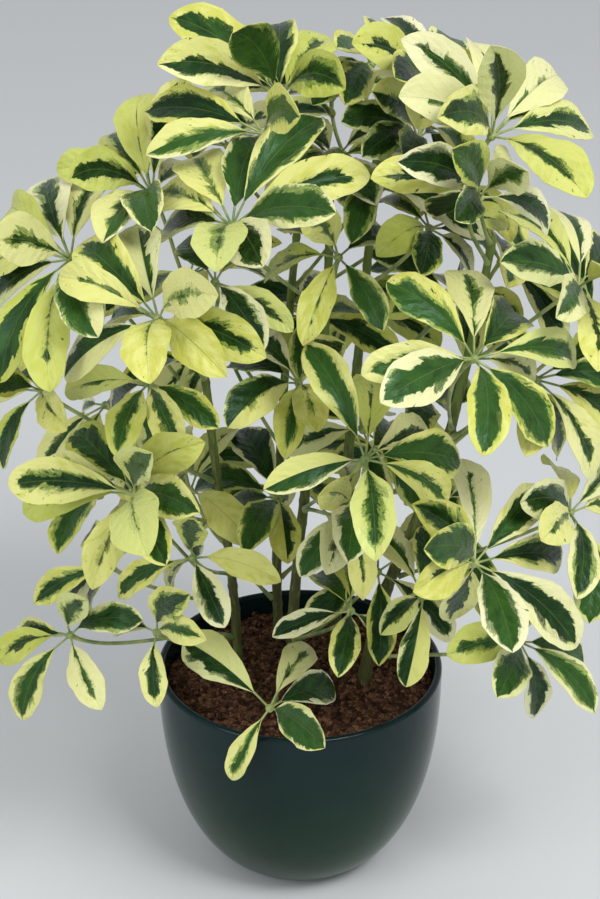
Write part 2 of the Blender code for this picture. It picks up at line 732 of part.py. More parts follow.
def grow_leaflets(name, hub, leaflets, seed, taken):
    """The leaf's leaflets, each bent aside until it is clear of all that is built."""
    hub = Vector(hub) * MM
    axis = leaf_axis(hub)
    grown = []
    lost = 0
    for tries in ways(hub, axis, outward(hub, axis), leaflets, seed):
        for leaflet in tries:
            rings, tip = leaflet.rings(CLEARANCE)
            if taken.touches(*lofted(rings, tip), name):
                continue
            # Near the hub the leaf's own leaflets meet, so they are tested from further out
            rings[0] = [corner.lerp(far, OWN_CLEAR) for corner, far in zip(rings[0], rings[1])]
            if not taken.touches(*lofted(rings, tip), name, own=True):
                grown.append(leaflet)
                taken.add(name, *lofted(*leaflet.rings()))
                break
        else:
            lost += 1
    if lost:
        print(f"{name}: {lost} of {len(grown) + lost} leaflets found no room")
    return grown


def knob_mesh(name, hub):
    """The knob at a leaf's hub, a short drum across its wheel's plane."""
    hub = Vector(hub) * MM
    work = bmesh.new()
    bmesh.ops.create_cone(
        work,
        segments=HUB_SIDES,
        cap_ends=True,
        radius1=HUB_RADIUS * HUB_TAPER,
        radius2=HUB_RADIUS,
        depth=HUB_RADIUS * HUB_DEPTH,
    )
    bmesh.ops.rotate(work, verts=work.verts, matrix=UP.rotation_difference(leaf_axis(hub)).to_matrix())
    bmesh.ops.translate(work, verts=work.verts, vec=hub)
    mesh = bpy.data.meshes.new(name + "_knob")
    work.to_mesh(mesh)
    work.free()
    return mesh


def is_sound(mesh):
    """Whether the mesh is one closed body."""
    work = bmesh.new()
    work.from_mesh(mesh)
    closed = all(edge.is_manifold for edge in work.edges) and all(vert.is_manifold for vert in work.verts)
    waiting = [work.faces[:][0]]
    reached = set(waiting)
    while waiting:
        for edge in waiting.pop().edges:
            for face in edge.link_faces:
                if face not in reached:
                    reached.add(face)
                    waiting.append(face)
    whole = len(reached) == len(work.faces)
    work.free()
    return closed and whole


def build_leaf(name, stalks, meshes, collection, finish):
    """One piece: its stalk, or two from one foot, and the knobs and leaflets on them, joined in one body."""
    joined = bpy.data.collections.new(name + "_joined")
    bpy.context.scene.collection.children.link(joined)
    stalk, *others = stalks
    for other in others:
        collection.objects.unlink(other)
        joined.objects.link(other)
    for i, mesh in enumerate(meshes):
        add_object(f"{name}_piece_{i}", mesh, joined)
    join = stalk.modifiers.new("join", "BOOLEAN")
    join.operation = "UNION"
    join.operand_type = "COLLECTION"
    join.collection = joined
    for join.solver in ("EXACT", "MANIFOLD"):
        mesh = plain_mesh(stalk)
        if is_sound(mesh):
            break
    else:
        print(f"{name}: its pieces don't join in one body")
    add_object(name, mesh, collection, finish)
    bpy.data.objects.remove(stalk)
    for piece in list(joined.objects):
        bpy.data.objects.remove(piece)
    bpy.data.collections.remove(joined)


def main():
    for obj in list(bpy.data.objects):
        bpy.data.objects.remove(obj)
    plant = bpy.data.collections.new("potted_schefflera")
    cutters = bpy.data.collections.new("cutters")
    for collection in (plant, cutters):
        bpy.context.scene.collection.children.link(collection)
    glaze = material("glazed_ceramic", (0.018, 0.035, 0.032), 0.28)
    peat = material("potting_soil", (0.055, 0.028, 0.018), 0.95)
    bark = material("cane_bark", (0.085, 0.095, 0.04), 0.75)
    green = material("variegated_leaf", (0.45, 0.5, 0.12), 0.42)

    taken = Taken()
    pot = build_pot(plant, glaze)
    skins = {}
    for name in CANES:
        cane = build_cane(name, plant, cutters)
        cane.data.materials.append(bark)
        taken.add(cane.name, *faces_of(cane))
        skins[name] = BVHTree.FromPolygons(*faces_of(cane))
    soil = build_soil(plant, cutters, peat)
    bpy.context.view_layer.update()
    for piece in (pot, soil):
        taken.add(piece.name, *evaluated_faces(piece))

    leaves = {}
    for cane, entries in LEAVES.items():
        for n, entry in enumerate(entries):
            leaves[f"leaf_{cane}_{n + 1:02d}"] = (cane, entry if isinstance(entry, list) else [entry])
    stalks, knobs = {}, {}
    for name, (cane, wheels) in leaves.items():
        stalks[name], shared = [], None
        for wheel in wheels:
            made, shared = build_stalk(name, cane, skins[cane], Vector(wheel[0]) * MM, taken, plant, shared)
            taken.add(name, *faces_of(made))
            stalks[name].append(made)
        knobs[name] = [knob_mesh(name, wheel[0]) for wheel in wheels]
    for name, meshes in knobs.items():
        for mesh in meshes:
            taken.add(name, [v.co.copy() for v in mesh.vertices], [tuple(p.vertices) for p in mesh.polygons])
    # The leaves that stand furthest forward keep their places, and those behind them bend aside
    seed = FIRST_SEED
    for name, (cane, wheels) in sorted(leaves.items(), key=lambda entry: entry[1][1][0][0][1]):
        grown = []
        for wheel in wheels:
            grown += grow_leaflets(name, *wheel, seed, taken)
            seed += 1
        blades = [blade_mesh(f"{name}_leaflet_{i}", leaflet) for i, leaflet in enumerate(grown)]
        build_leaf(name, stalks[name], knobs[name] + blades, plant, green)


main()
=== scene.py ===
"""A potted variegated schefflera in a dark green glazed pot, dressed for its studio picture."""

import math
import random
from collections import namedtuple

import bpy
import numpy as np
from mathutils import Matrix, Vector, noise
from mathutils.bvhtree import BVHTree
from mathutils.kdtree import KDTree


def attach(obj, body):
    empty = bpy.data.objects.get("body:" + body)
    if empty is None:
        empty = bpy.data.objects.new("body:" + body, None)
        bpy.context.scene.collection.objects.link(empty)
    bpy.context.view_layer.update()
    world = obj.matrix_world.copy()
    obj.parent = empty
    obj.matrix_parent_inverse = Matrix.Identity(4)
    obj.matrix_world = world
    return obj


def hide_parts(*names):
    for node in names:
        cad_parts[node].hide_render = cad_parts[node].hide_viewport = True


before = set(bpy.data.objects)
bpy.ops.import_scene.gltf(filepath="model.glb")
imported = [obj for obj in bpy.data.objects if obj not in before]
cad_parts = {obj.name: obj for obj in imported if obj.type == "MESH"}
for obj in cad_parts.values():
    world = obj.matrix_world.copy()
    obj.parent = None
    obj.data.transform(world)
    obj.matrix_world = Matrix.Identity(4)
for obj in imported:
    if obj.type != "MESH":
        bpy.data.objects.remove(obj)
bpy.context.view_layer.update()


# The pot
# A plain outer pot of glazed stoneware, thrown as a deep bowl on a small flat foot, with a thin rolled lip.
# It was dipped in a dark bottle-green glaze, inside and out, and fired until the glaze turned to glass.
MM = 0.001
UP = Vector((0, 0, 1))
POT_RADIUS = 105 * MM
POT_HEIGHT = 163 * MM
FOOT_RADIUS = 45 * MM
BELLY_RISE, BELLY_ROUND = 2.5, 0.6
WALL = 5.5 * MM
FLOOR = 9 * MM
POT_TURNS = 144
POT_LEVELS = 40
LEVEL_CROWDING = 1.6
OUTSIDE_END = 0.985
INSIDE_START, INSIDE_END = 0.06, 0.97
LIP_STEPS = 8
FOOT_RECESS = 0.72 * MM
FOOT_STEP, FOOT_RING, FOOT_EDGE = 9 * MM, 6 * MM, 1.5 * MM
DOUBLES = 0.02 * MM


def linear(hex_color, alpha=1.0):
    """An sRGB hex colour as the linear one that a shader takes."""
    found = []
    for k in (0, 2, 4):
        value = int(hex_color[k : k + 2], 16) / 255
        found.append(value / 12.92 if value <= 0.04045 else ((value + 0.055) / 1.055) ** 2.4)
    return (*found, alpha)


def node(tree, kind, links=None, **settings):
    """Adds a shader node. links gives each input a value, a socket, or a node whose first output it takes."""
    made = tree.nodes.new("ShaderNode" + kind)
    for name, value in settings.items():
        setattr(made, name, value)
    for place, value in (links or {}).items():
        if isinstance(value, bpy.types.Node):
            value = value.outputs[0]
        if isinstance(value, bpy.types.NodeSocket):
            tree.links.new(value, made.inputs[place])
        else:
            made.inputs[place].default_value = value
    return made


def new_material(name):
    made = bpy.data.materials.new(name)
    made.use_nodes = True
    made.node_tree.nodes.remove(made.node_tree.nodes["Principled BSDF"])
    return made, made.node_tree


def paint_ramp(made, *stops):
    """Gives a ramp its colours. Each stop is a place from 0 to 1 and an sRGB hex colour."""
    elements = made.color_ramp.elements
    for element, (place, hex_color) in zip(elements, (stops[0], stops[-1])):
        element.position, element.color = place, linear(hex_color)
    for place, hex_color in stops[1:-1]:
        elements.new(place).color = linear(hex_color)


def show(tree, shader):
    tree.links.new(shader.outputs[0], tree.nodes["Material Output"].inputs["Surface"])


def pot_radius(height):
    """The pot's outside radius at a height above the floor."""
    rise = 1 - (1 - height / POT_HEIGHT) ** BELLY_RISE
    return FOOT_RADIUS + (POT_RADIUS - FOOT_RADIUS) * rise**BELLY_ROUND


def turn_profile(name, profile, turns):
    """Spins a line of (radius, height) points round the vertical axis, as on a wheel."""
    bpy.ops.object.select_all(action="DESELECT")
    bpy.ops.mesh.primitive_plane_add(size=MM)
    made = bpy.context.object
    made.name = made.data.name = name
    bpy.ops.object.mode_set(mode="EDIT")
    bpy.ops.mesh.merge(type="CENTER")
    bpy.ops.object.mode_set(mode="OBJECT")
    made.data.vertices[0].co = (profile[0][0], 0, profile[0][1])
    bpy.ops.object.mode_set(mode="EDIT")
    for (r0, z0), (r1, z1) in zip(profile, profile[1:]):
        bpy.ops.mesh.extrude_region_move(TRANSFORM_OT_translate={"value": (r1 - r0, 0, z1 - z0)})
    bpy.ops.mesh.select_all(action="SELECT")
    bpy.ops.mesh.spin(steps=turns, angle=2 * math.pi, center=(0, 0, 0), axis=(0, 0, 1))
    bpy.ops.mesh.select_all(action="SELECT")
    bpy.ops.mesh.remove_doubles(threshold=DOUBLES)
    bpy.ops.mesh.normals_make_consistent(inside=False)
    bpy.ops.object.mode_set(mode="OBJECT")
    return made


levels = [1 - (1 - k / POT_LEVELS) ** LEVEL_CROWDING for k in range(POT_LEVELS + 1)]
outside = [(pot_radius(level * POT_HEIGHT), level * POT_HEIGHT) for level in levels if level < OUTSIDE_END]
lip_middle = (POT_RADIUS - WALL / 2, POT_HEIGHT - WALL / 2)
lip = [
    (lip_middle[0] + WALL / 2 * math.cos(turn), lip_middle[1] + WALL / 2 * math.sin(turn))
    for turn in (math.pi * k / LIP_STEPS for k in range(LIP_STEPS + 1))
]
inside = [
    (pot_radius(level * POT_HEIGHT) - WALL, level * POT_HEIGHT)
    for level in reversed(levels)
    if INSIDE_START < level < INSIDE_END
]
foot = [
    (0, FOOT_RECESS),
    (FOOT_RADIUS - FOOT_STEP, FOOT_RECESS),
    (FOOT_RADIUS - FOOT_RING, 0),
    (FOOT_RADIUS - FOOT_EDGE, 0),
]
glazed_pot = turn_profile("glazed_pot", [*foot, *outside[1:], *lip, *inside, (0, FLOOR)], POT_TURNS)
bpy.ops.object.shade_smooth_by_angle(angle=math.radians(50))

# Bottle-green stoneware glaze, fired glossy, over a dark body. It pools darker in hollows about 90 mm apart,
# and a painted reflection turns it blue-black towards the lip. Ripples left by dipping, 14 mm apart, bend the
# reflections a little.
GLAZE_GREEN, GLAZE_DEEP, PAINTED_REFLECTION_BLUE = "173722", "0d241a", "13252a"
GLAZE_POOLS, GLAZE_RIPPLE, GLAZE_SPECK = 90 * MM, 14 * MM, 1.2 * MM
REFLECTION_START, REFLECTION_END, REFLECTION_CLOUD = 80 * MM, 185 * MM, 60 * MM
bottle_glaze, tree = new_material("bottle_green_glaze")
place = node(tree, "TexCoord").outputs["Object"]
pooling = node(tree, "TexNoise", {"Vector": place, "Scale": 1 / GLAZE_POOLS, "Detail": 3.0, "Roughness": 0.5})
glaze_color = node(tree, "ValToRGB", {"Fac": pooling})
paint_ramp(glaze_color, (0.3, GLAZE_DEEP), (0.7, GLAZE_GREEN))
# The painted reflection: blue-black mixed into the glaze more and more from 80 mm up towards the lip, its
# start clouded by the pooling
height = node(tree, "SeparateXYZ", {"Vector": place}).outputs["Z"]
clouded = node(tree, "Math", {0: pooling, 1: REFLECTION_CLOUD, 2: height}, operation="MULTIPLY_ADD")
reflection_rise = {"Value": clouded, "From Min": REFLECTION_START, "From Max": REFLECTION_END, "To Max": 0.85}
painted_reflection = node(tree, "MapRange", reflection_rise)
glazed = node(tree, "MixRGB", {0: painted_reflection, 1: glaze_color, 2: linear(PAINTED_REFLECTION_BLUE)})
ripple = node(tree, "TexNoise", {"Vector": place, "Scale": 1 / GLAZE_RIPPLE, "Detail": 1.0})
dip = node(tree, "Bump", {"Height": ripple, "Distance": 0.25 * MM, "Strength": 0.5})
speck = node(tree, "TexNoise", {"Vector": place, "Scale": 1 / GLAZE_SPECK, "Detail": 2.0})
speck_gloss = {"Value": speck, "From Min": 0.3, "From Max": 0.75, "To Min": 0.13, "To Max": 0.2}
gloss = node(tree, "MapRange", speck_gloss)
finish = {"Base Color": glazed, "Roughness": gloss, "Normal": dip, "IOR": 1.5, "Specular IOR Level": 0.18}
show(tree, node(tree, "BsdfPrincipled", finish))
glazed_pot.data.materials.append(bottle_glaze)
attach(glazed_pot, "root")
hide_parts("pot")


# The potting soil
# Moist peat with coir, poured in round the roots and tamped by hand: a low mound of brown crumbs, 1 to 6 mm,
# that has shrunk back a finger's breadth below the lip.
SOIL_TOP = POT_HEIGHT - 15 * MM
SOIL_MOUND = 4 * MM
SOIL_GAP = 0.6 * MM
SOIL_RADIUS = pot_radius(SOIL_TOP) - WALL - SOIL_GAP
SOIL_DEPTH = 30 * MM
SOIL_TURNS = 260
SOIL_STEP = 1.15 * MM
SOIL_HOLLOW = 2.2 * MM
SOIL_EDGE, SOIL_EDGE_WIDTH, SOIL_EDGE_DROP = 0.93, 0.07, 1.6 * MM
CRUMB_SIZES = ((11 * MM, 3.2 * MM), (5 * MM, 2.3 * MM), (2.1 * MM, 1.0 * MM))


def soil_height(x, y):
    """How high the soil stands at a point: the mound, its hollows and three sizes of crumb."""
    out = math.hypot(x, y) / SOIL_RADIUS
    hollow = noise.noise(Vector((x * 60 + 3, y * 60 + 1, 0)))
    height = SOIL_TOP + SOIL_MOUND * (1 - out**2) + SOIL_HOLLOW * hollow
    for size, lift in CRUMB_SIZES:
        near = noise.voronoi(Vector((x / size, y / size, 0.37)))[0]
        height += lift * (max(0.0, 0.55 - near[0]) + 0.4 * (near[1] - near[0]) - 0.25)
    return height - SOIL_EDGE_DROP * max(0.0, out - SOIL_EDGE) / SOIL_EDGE_WIDTH


soil_rings = int(SOIL_RADIUS / SOIL_STEP)
soil_face = [(SOIL_RADIUS * k / soil_rings, SOIL_TOP) for k in range(soil_rings + 1)]
soil_foot = SOIL_TOP - SOIL_DEPTH
soil_foot_radius = pot_radius(soil_foot) - WALL - SOIL_GAP
potting_soil = turn_profile(
    "potting_soil", [*soil_face, (soil_foot_radius, soil_foot), (0, soil_foot)], SOIL_TURNS
)
for vert in potting_soil.data.vertices:
    if vert.co.z > SOIL_TOP - MM:
        vert.co.z = soil_height(vert.co.x, vert.co.y)

# Loose crumbs lie on the bed, from 1 to 6 mm across, each one a lump pulled a little out of round
CRUMBS, CRUMB_SEED = 560, 11
CRUMB_SPREAD = 0.97
CRUMB_DRAW, CRUMB_POWER, CRUMB_RADIUS = (0.75, 3.5), 1.15, 0.75
CRUMB_LUMPS = 0.5
CRUMB_SHAPE = (1.25, 1, 0.75)
CRUMB_LIFT = 0.3
random.seed(CRUMB_SEED)
bpy.ops.object.select_all(action="DESELECT")
crumbs = []
for k in range(CRUMBS):
    out = SOIL_RADIUS * CRUMB_SPREAD * math.sqrt(random.random())
    turn = random.uniform(0, 2 * math.pi)
    x, y = out * math.cos(turn), out * math.sin(turn)
    size = random.uniform(*CRUMB_DRAW) ** CRUMB_POWER * CRUMB_RADIUS * MM
    bpy.ops.mesh.primitive_ico_sphere_add(subdivisions=2, radius=size, location=(0, 0, 0))
    crumb = bpy.context.object
    lean = Matrix.Rotation(random.uniform(0, 3), 3, Vector((random.random(), random.random(), 0.4)))
    for vert in crumb.data.vertices:
        lump = 1 + CRUMB_LUMPS * noise.noise(vert.co / size * 1.4 + Vector((k, 0, 0)))
        vert.co = lean @ Vector([co * lump * stretch for co, stretch in zip(vert.co, CRUMB_SHAPE)])
        vert.co += Vector((x, y, soil_height(x, y) + size * CRUMB_LIFT))
    crumbs.append(crumb)
for crumb in crumbs:
    crumb.select_set(True)
potting_soil.select_set(True)
bpy.context.view_layer.objects.active = potting_soil
bpy.ops.object.join()
bpy.ops.object.shade_smooth()

# Moist coir peat, matt. Each crumb takes a tone at random from near black to pale brown: partly the peat's
# own colour, and partly painted light, the paler browns a painted highlight for light catching a crumb and
# the near black a painted shade for the pits between them.
PEAT_FLECK, PEAT_BROWN_AND_HIGHLIGHT, PEAT_RED, PEAT_DARK_AND_SHADE = "b8967a", "8a6149", "573a29", "1e1510"
PEAT_FLECKS, PEAT_CELLS, PEAT_GRIT, PEAT_TEAR = 2.2 * MM, 3.2 * MM, 0.9 * MM, 3 * MM
moist_peat, tree = new_material("moist_coir_peat")
place = node(tree, "TexCoord").outputs["Object"]
fleck = node(tree, "TexNoise", {"Vector": place, "Scale": 1 / PEAT_FLECKS, "Detail": 6.0, "Roughness": 0.8})
pulled = node(tree, "VectorMath", {0: fleck.outputs["Color"], "Scale": PEAT_TEAR}, operation="SCALE")
torn = node(tree, "VectorMath", {0: place, 1: pulled})
crumb_cells = node(tree, "TexVoronoi", {"Vector": torn, "Scale": 1 / PEAT_CELLS}).outputs["Color"]
crumb_tone = node(tree, "SeparateColor", {"Color": crumb_cells}).outputs["Red"]
mixed = node(tree, "Math", {0: crumb_tone, 1: 0.34, 2: fleck}, operation="MULTIPLY_ADD")
# Random crumb tones, partly the peat's own colour and partly painted highlight and painted shade
peat_color = node(tree, "ValToRGB", {"Fac": mixed})
paint_ramp(peat_color, (0.48, PEAT_DARK_AND_SHADE), (0.68, PEAT_RED), (0.84, PEAT_BROWN_AND_HIGHLIGHT), (0.98, PEAT_FLECK))
grit = node(tree, "TexNoise", {"Vector": place, "Scale": 1 / PEAT_GRIT, "Detail": 3.0})
crumbly = node(tree, "Bump", {"Height": grit, "Distance": 1.2 * MM, "Strength": 1.0})
finish = {"Base Color": peat_color, "Roughness": 0.95, "Specular IOR Level": 0.2, "Normal": crumbly}
show(tree, node(tree, "BsdfPrincipled", finish))
potting_soil.data.materials.append(moist_peat)
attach(potting_soil, "root")
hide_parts("soil")


# The canes
# Five upright stems as thick as a pencil. They grew green and turned to thin grey-brown bark from the soil
# up, and a pale ring is left wherever a leaf stalk has dropped.
CANE_TIP_RADIUS = 2.8 * MM
CANE_DEPTH = 55 * MM
CANE_POINTS = 8
# Each cane is its radius at the foot and the points (x, y, z) that its middle line passes, in millimetres
CANES = {
    "left": (3.8, [(-46, 16, 147), (-50, 20, 225), (-60, 18, 310), (-66, 8, 390), (-74, -6, 468)]),
    "centre": (4.4, [(-8, 8, 147), (-2, 10, 240), (8, 8, 340), (18, 4, 440), (20, 2, 535)]),
    "middle": (4.5, [(26, 34, 147), (30, 36, 240), (36, 38, 330), (44, 34, 430), (52, 28, 545)]),
    "right": (5.2, [(46, -10, 147), (60, -14, 225), (82, -20, 290), (106, -18, 370), (128, -10, 500)]),
    "back": (4.0, [(-16, 52, 147), (-18, 64, 225), (-14, 78, 310), (-8, 92, 400), (0, 100, 485)]),
}
CANE_RINGS = 120
CANE_SIDES = 14
CANE_SKIN = 0.95
CANE_LUMPS = 0.1
SCAR_SPACING = 19 * MM
SCAR_LIFT = 0.5 * MM
SCAR_WIDTH = 0.07
TIP_ROUND, TIP_ROUND_WIDTH, TIP_LEAST = 0.985, 0.016, 0.02
SIDEWAYS = Vector((0.31, 0.95, 0.05))


def through(points, count):
    """count points along a smooth curve through the given ones."""
    route = [Vector(p) for p in points]
    route = [2 * route[0] - route[1], *route, 2 * route[-1] - route[-2]]
    found = []
    for i in range(count):
        place = i / (count - 1) * (len(route) - 3)
        k = min(int(place), len(route) - 4)
        t = place - k
        a, b, c, d = route[k : k + 4]
        bow = 2 * a - 5 * b + 4 * c - d
        swing = 3 * b - a - 3 * c + d
        found.append(0.5 * (2 * b + (c - a) * t + bow * t**2 + swing * t**3))
    return found


def cane_route(name):
    """The cane's line from the bottom of its hole to its tip, as its solid has it."""
    above = [Vector(p) * MM for p in CANES[name][1]]
    return [above[0] - UP * CANE_DEPTH, *through(above, CANE_POINTS)]


def unit_stem(name, rings, sides):
    """A straight stem one unit long and one in radius, cut into rings, that real stems are bent from."""
    bpy.ops.object.select_all(action="DESELECT")
    bpy.ops.mesh.primitive_cylinder_add(vertices=sides, radius=1, depth=1, location=(0, 0, 0.5))
    made = bpy.context.object
    made.name = made.data.name = name
    bpy.ops.object.transform_apply(location=True)
    bpy.ops.object.mode_set(mode="EDIT")
    for k in range(1, rings):
        bpy.ops.mesh.select_all(action="SELECT")
        bpy.ops.mesh.bisect(plane_co=(0, 0, k / rings), plane_no=(0, 0, 1))
    bpy.ops.object.mode_set(mode="OBJECT")
    return made


def along(route, share):
    """(point, direction) at a share of a route's length."""
    lengths = [0.0]
    for a, b in zip(route, route[1:]):
        lengths.append(lengths[-1] + (b - a).length)
    place = share * lengths[-1]
    k = max(i for i, length in enumerate(lengths[:-1]) if length <= place + 1e-9)
    t = (place - lengths[k]) / (lengths[k + 1] - lengths[k])
    before, after = route[max(k - 1, 0)], route[min(k + 2, len(route) - 1)]
    way = (route[k + 1] - route[k]).normalized()
    way_in = (route[k + 1] - before).normalized()
    way_out = (after - route[k]).normalized()
    return route[k].lerp(route[k + 1], t), (way_in * (1 - t) + way + way_out * t).normalized()


def bent_stem(name, stem, route, radius_at, knobs=0.0):
    """A copy of a unit stem along a route. radius_at gives its radius at a share of its length."""
    made = bpy.data.objects.new(name, stem.data.copy())
    bpy.context.scene.collection.objects.link(made)
    places = {}
    for vert in made.data.vertices:
        share = min(max(vert.co.z, 0.0), 1.0)
        key = round(share, 4)
        if key not in places:
            point, way = along(route, share)
            side = way.cross(SIDEWAYS).normalized()
            places[key] = (point, side, side.cross(way).normalized(), radius_at(share))
        point, side, across, radius = places[key]
        knob_place = Vector((vert.co.x * 1.5, vert.co.y * 1.5, share * 40 + route[0].x * 900))
        lump = 1 + knobs * noise.noise(knob_place)
        vert.co = point + (side * vert.co.x + across * vert.co.y) * radius * lump
    return made


# Bark of a young umbrella tree: olive green skin under thin grey-brown cork, streaked along the stem, with
# small pale breathing pores. The cork is thicker towards the soil.
BARK_GREEN, BARK_BROWN, BARK_PALE = "768a43", "585b33", "929460"
BARK_STREAKS, BARK_PORES = 3.2 * MM, 2.6 * MM
young_bark, tree = new_material("young_bark")
place = node(tree, "TexCoord").outputs["Object"]
streaks = node(tree, "Mapping", {"Vector": place, "Scale": (1, 1, 0.16)})
cork_streaks = {"Vector": streaks, "Scale": 1 / BARK_STREAKS, "Detail": 4.0, "Roughness": 0.65}
cork = node(tree, "TexNoise", cork_streaks)
height = node(tree, "SeparateXYZ", {"Vector": place}).outputs["Z"]
height_age = {"Value": height, "From Min": 0.2, "From Max": 0.5, "To Min": 0.14, "To Max": -0.16}
age = node(tree, "MapRange", height_age)
corky = node(tree, "Math", {0: cork, 1: age}, operation="ADD")
bark_color = node(tree, "ValToRGB", {"Fac": corky})
paint_ramp(bark_color, (0.42, BARK_GREEN), (0.62, BARK_BROWN))
pores = node(tree, "TexVoronoi", {"Vector": streaks, "Scale": 1 / BARK_PORES})
pore_edge = {"Value": pores, "From Min": 0.12, "From Max": 0.2, "To Min": 0.7, "To Max": 0.0}
pore = node(tree, "MapRange", pore_edge)
spotted = node(tree, "MixRGB", {0: pore, 1: bark_color, 2: linear(BARK_PALE)})
ridges = node(tree, "Bump", {"Height": cork, "Distance": 0.5 * MM, "Strength": 0.6})
finish = {"Base Color": spotted, "Roughness": 0.72, "Specular IOR Level": 0.35, "Normal": ridges}
show(tree, node(tree, "BsdfPrincipled", finish))

cane_stem = unit_stem("cane_stem", CANE_RINGS, CANE_SIDES)
for name, (foot_size, _) in CANES.items():
    route = cane_route(name)
    total = sum((b - a).length for a, b in zip(route, route[1:]))

    def cane_radius(share, foot_size=foot_size, total=total):
        """The taper of the solid cane, with a ring at each old leaf's scar and a rounded growing tip."""
        up = max(share - CANE_DEPTH / total, 0) / (1 - CANE_DEPTH / total)
        radius = foot_size * MM + (CANE_TIP_RADIUS - foot_size * MM) * up
        scar = (share * total / SCAR_SPACING) % 1
        ring = SCAR_LIFT * math.exp(-(((scar - 0.5) / SCAR_WIDTH) ** 2))
        rounding = max((share - TIP_ROUND) / TIP_ROUND_WIDTH, 0) ** 2
        return (radius * CANE_SKIN + ring) * math.sqrt(max(1 - rounding, TIP_LEAST))

    cane = bent_stem("bark_cane_" + name, cane_stem, route, cane_radius, knobs=CANE_LUMPS)
    bpy.ops.object.select_all(action="DESELECT")
    cane.select_set(True)
    bpy.context.view_layer.objects.active = cane
    bpy.ops.object.shade_smooth()
    cane.data.materials.append(young_bark)
    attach(cane, "root")
    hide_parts("cane_" + name)
bpy.data.objects.remove(cane_stem)


# The leaves
# Each leaf is a long green stalk that ends in a knob, with four to eleven leaflets round it like umbrella
# ribs. They are leathery, folded a little along the midrib and arched, and each has a short stalk of its own.

# The camera stands as it did for the photo. Its focal length and the middle of its picture are in pixels.
CAMERA_PLACE = Vector((0, -1250, 952.4)) * MM
CAMERA_DOWN = math.radians(26.22)
FOCAL_PIXELS = 1984.9
MIDDLE_PIXEL = (300, 449.5)
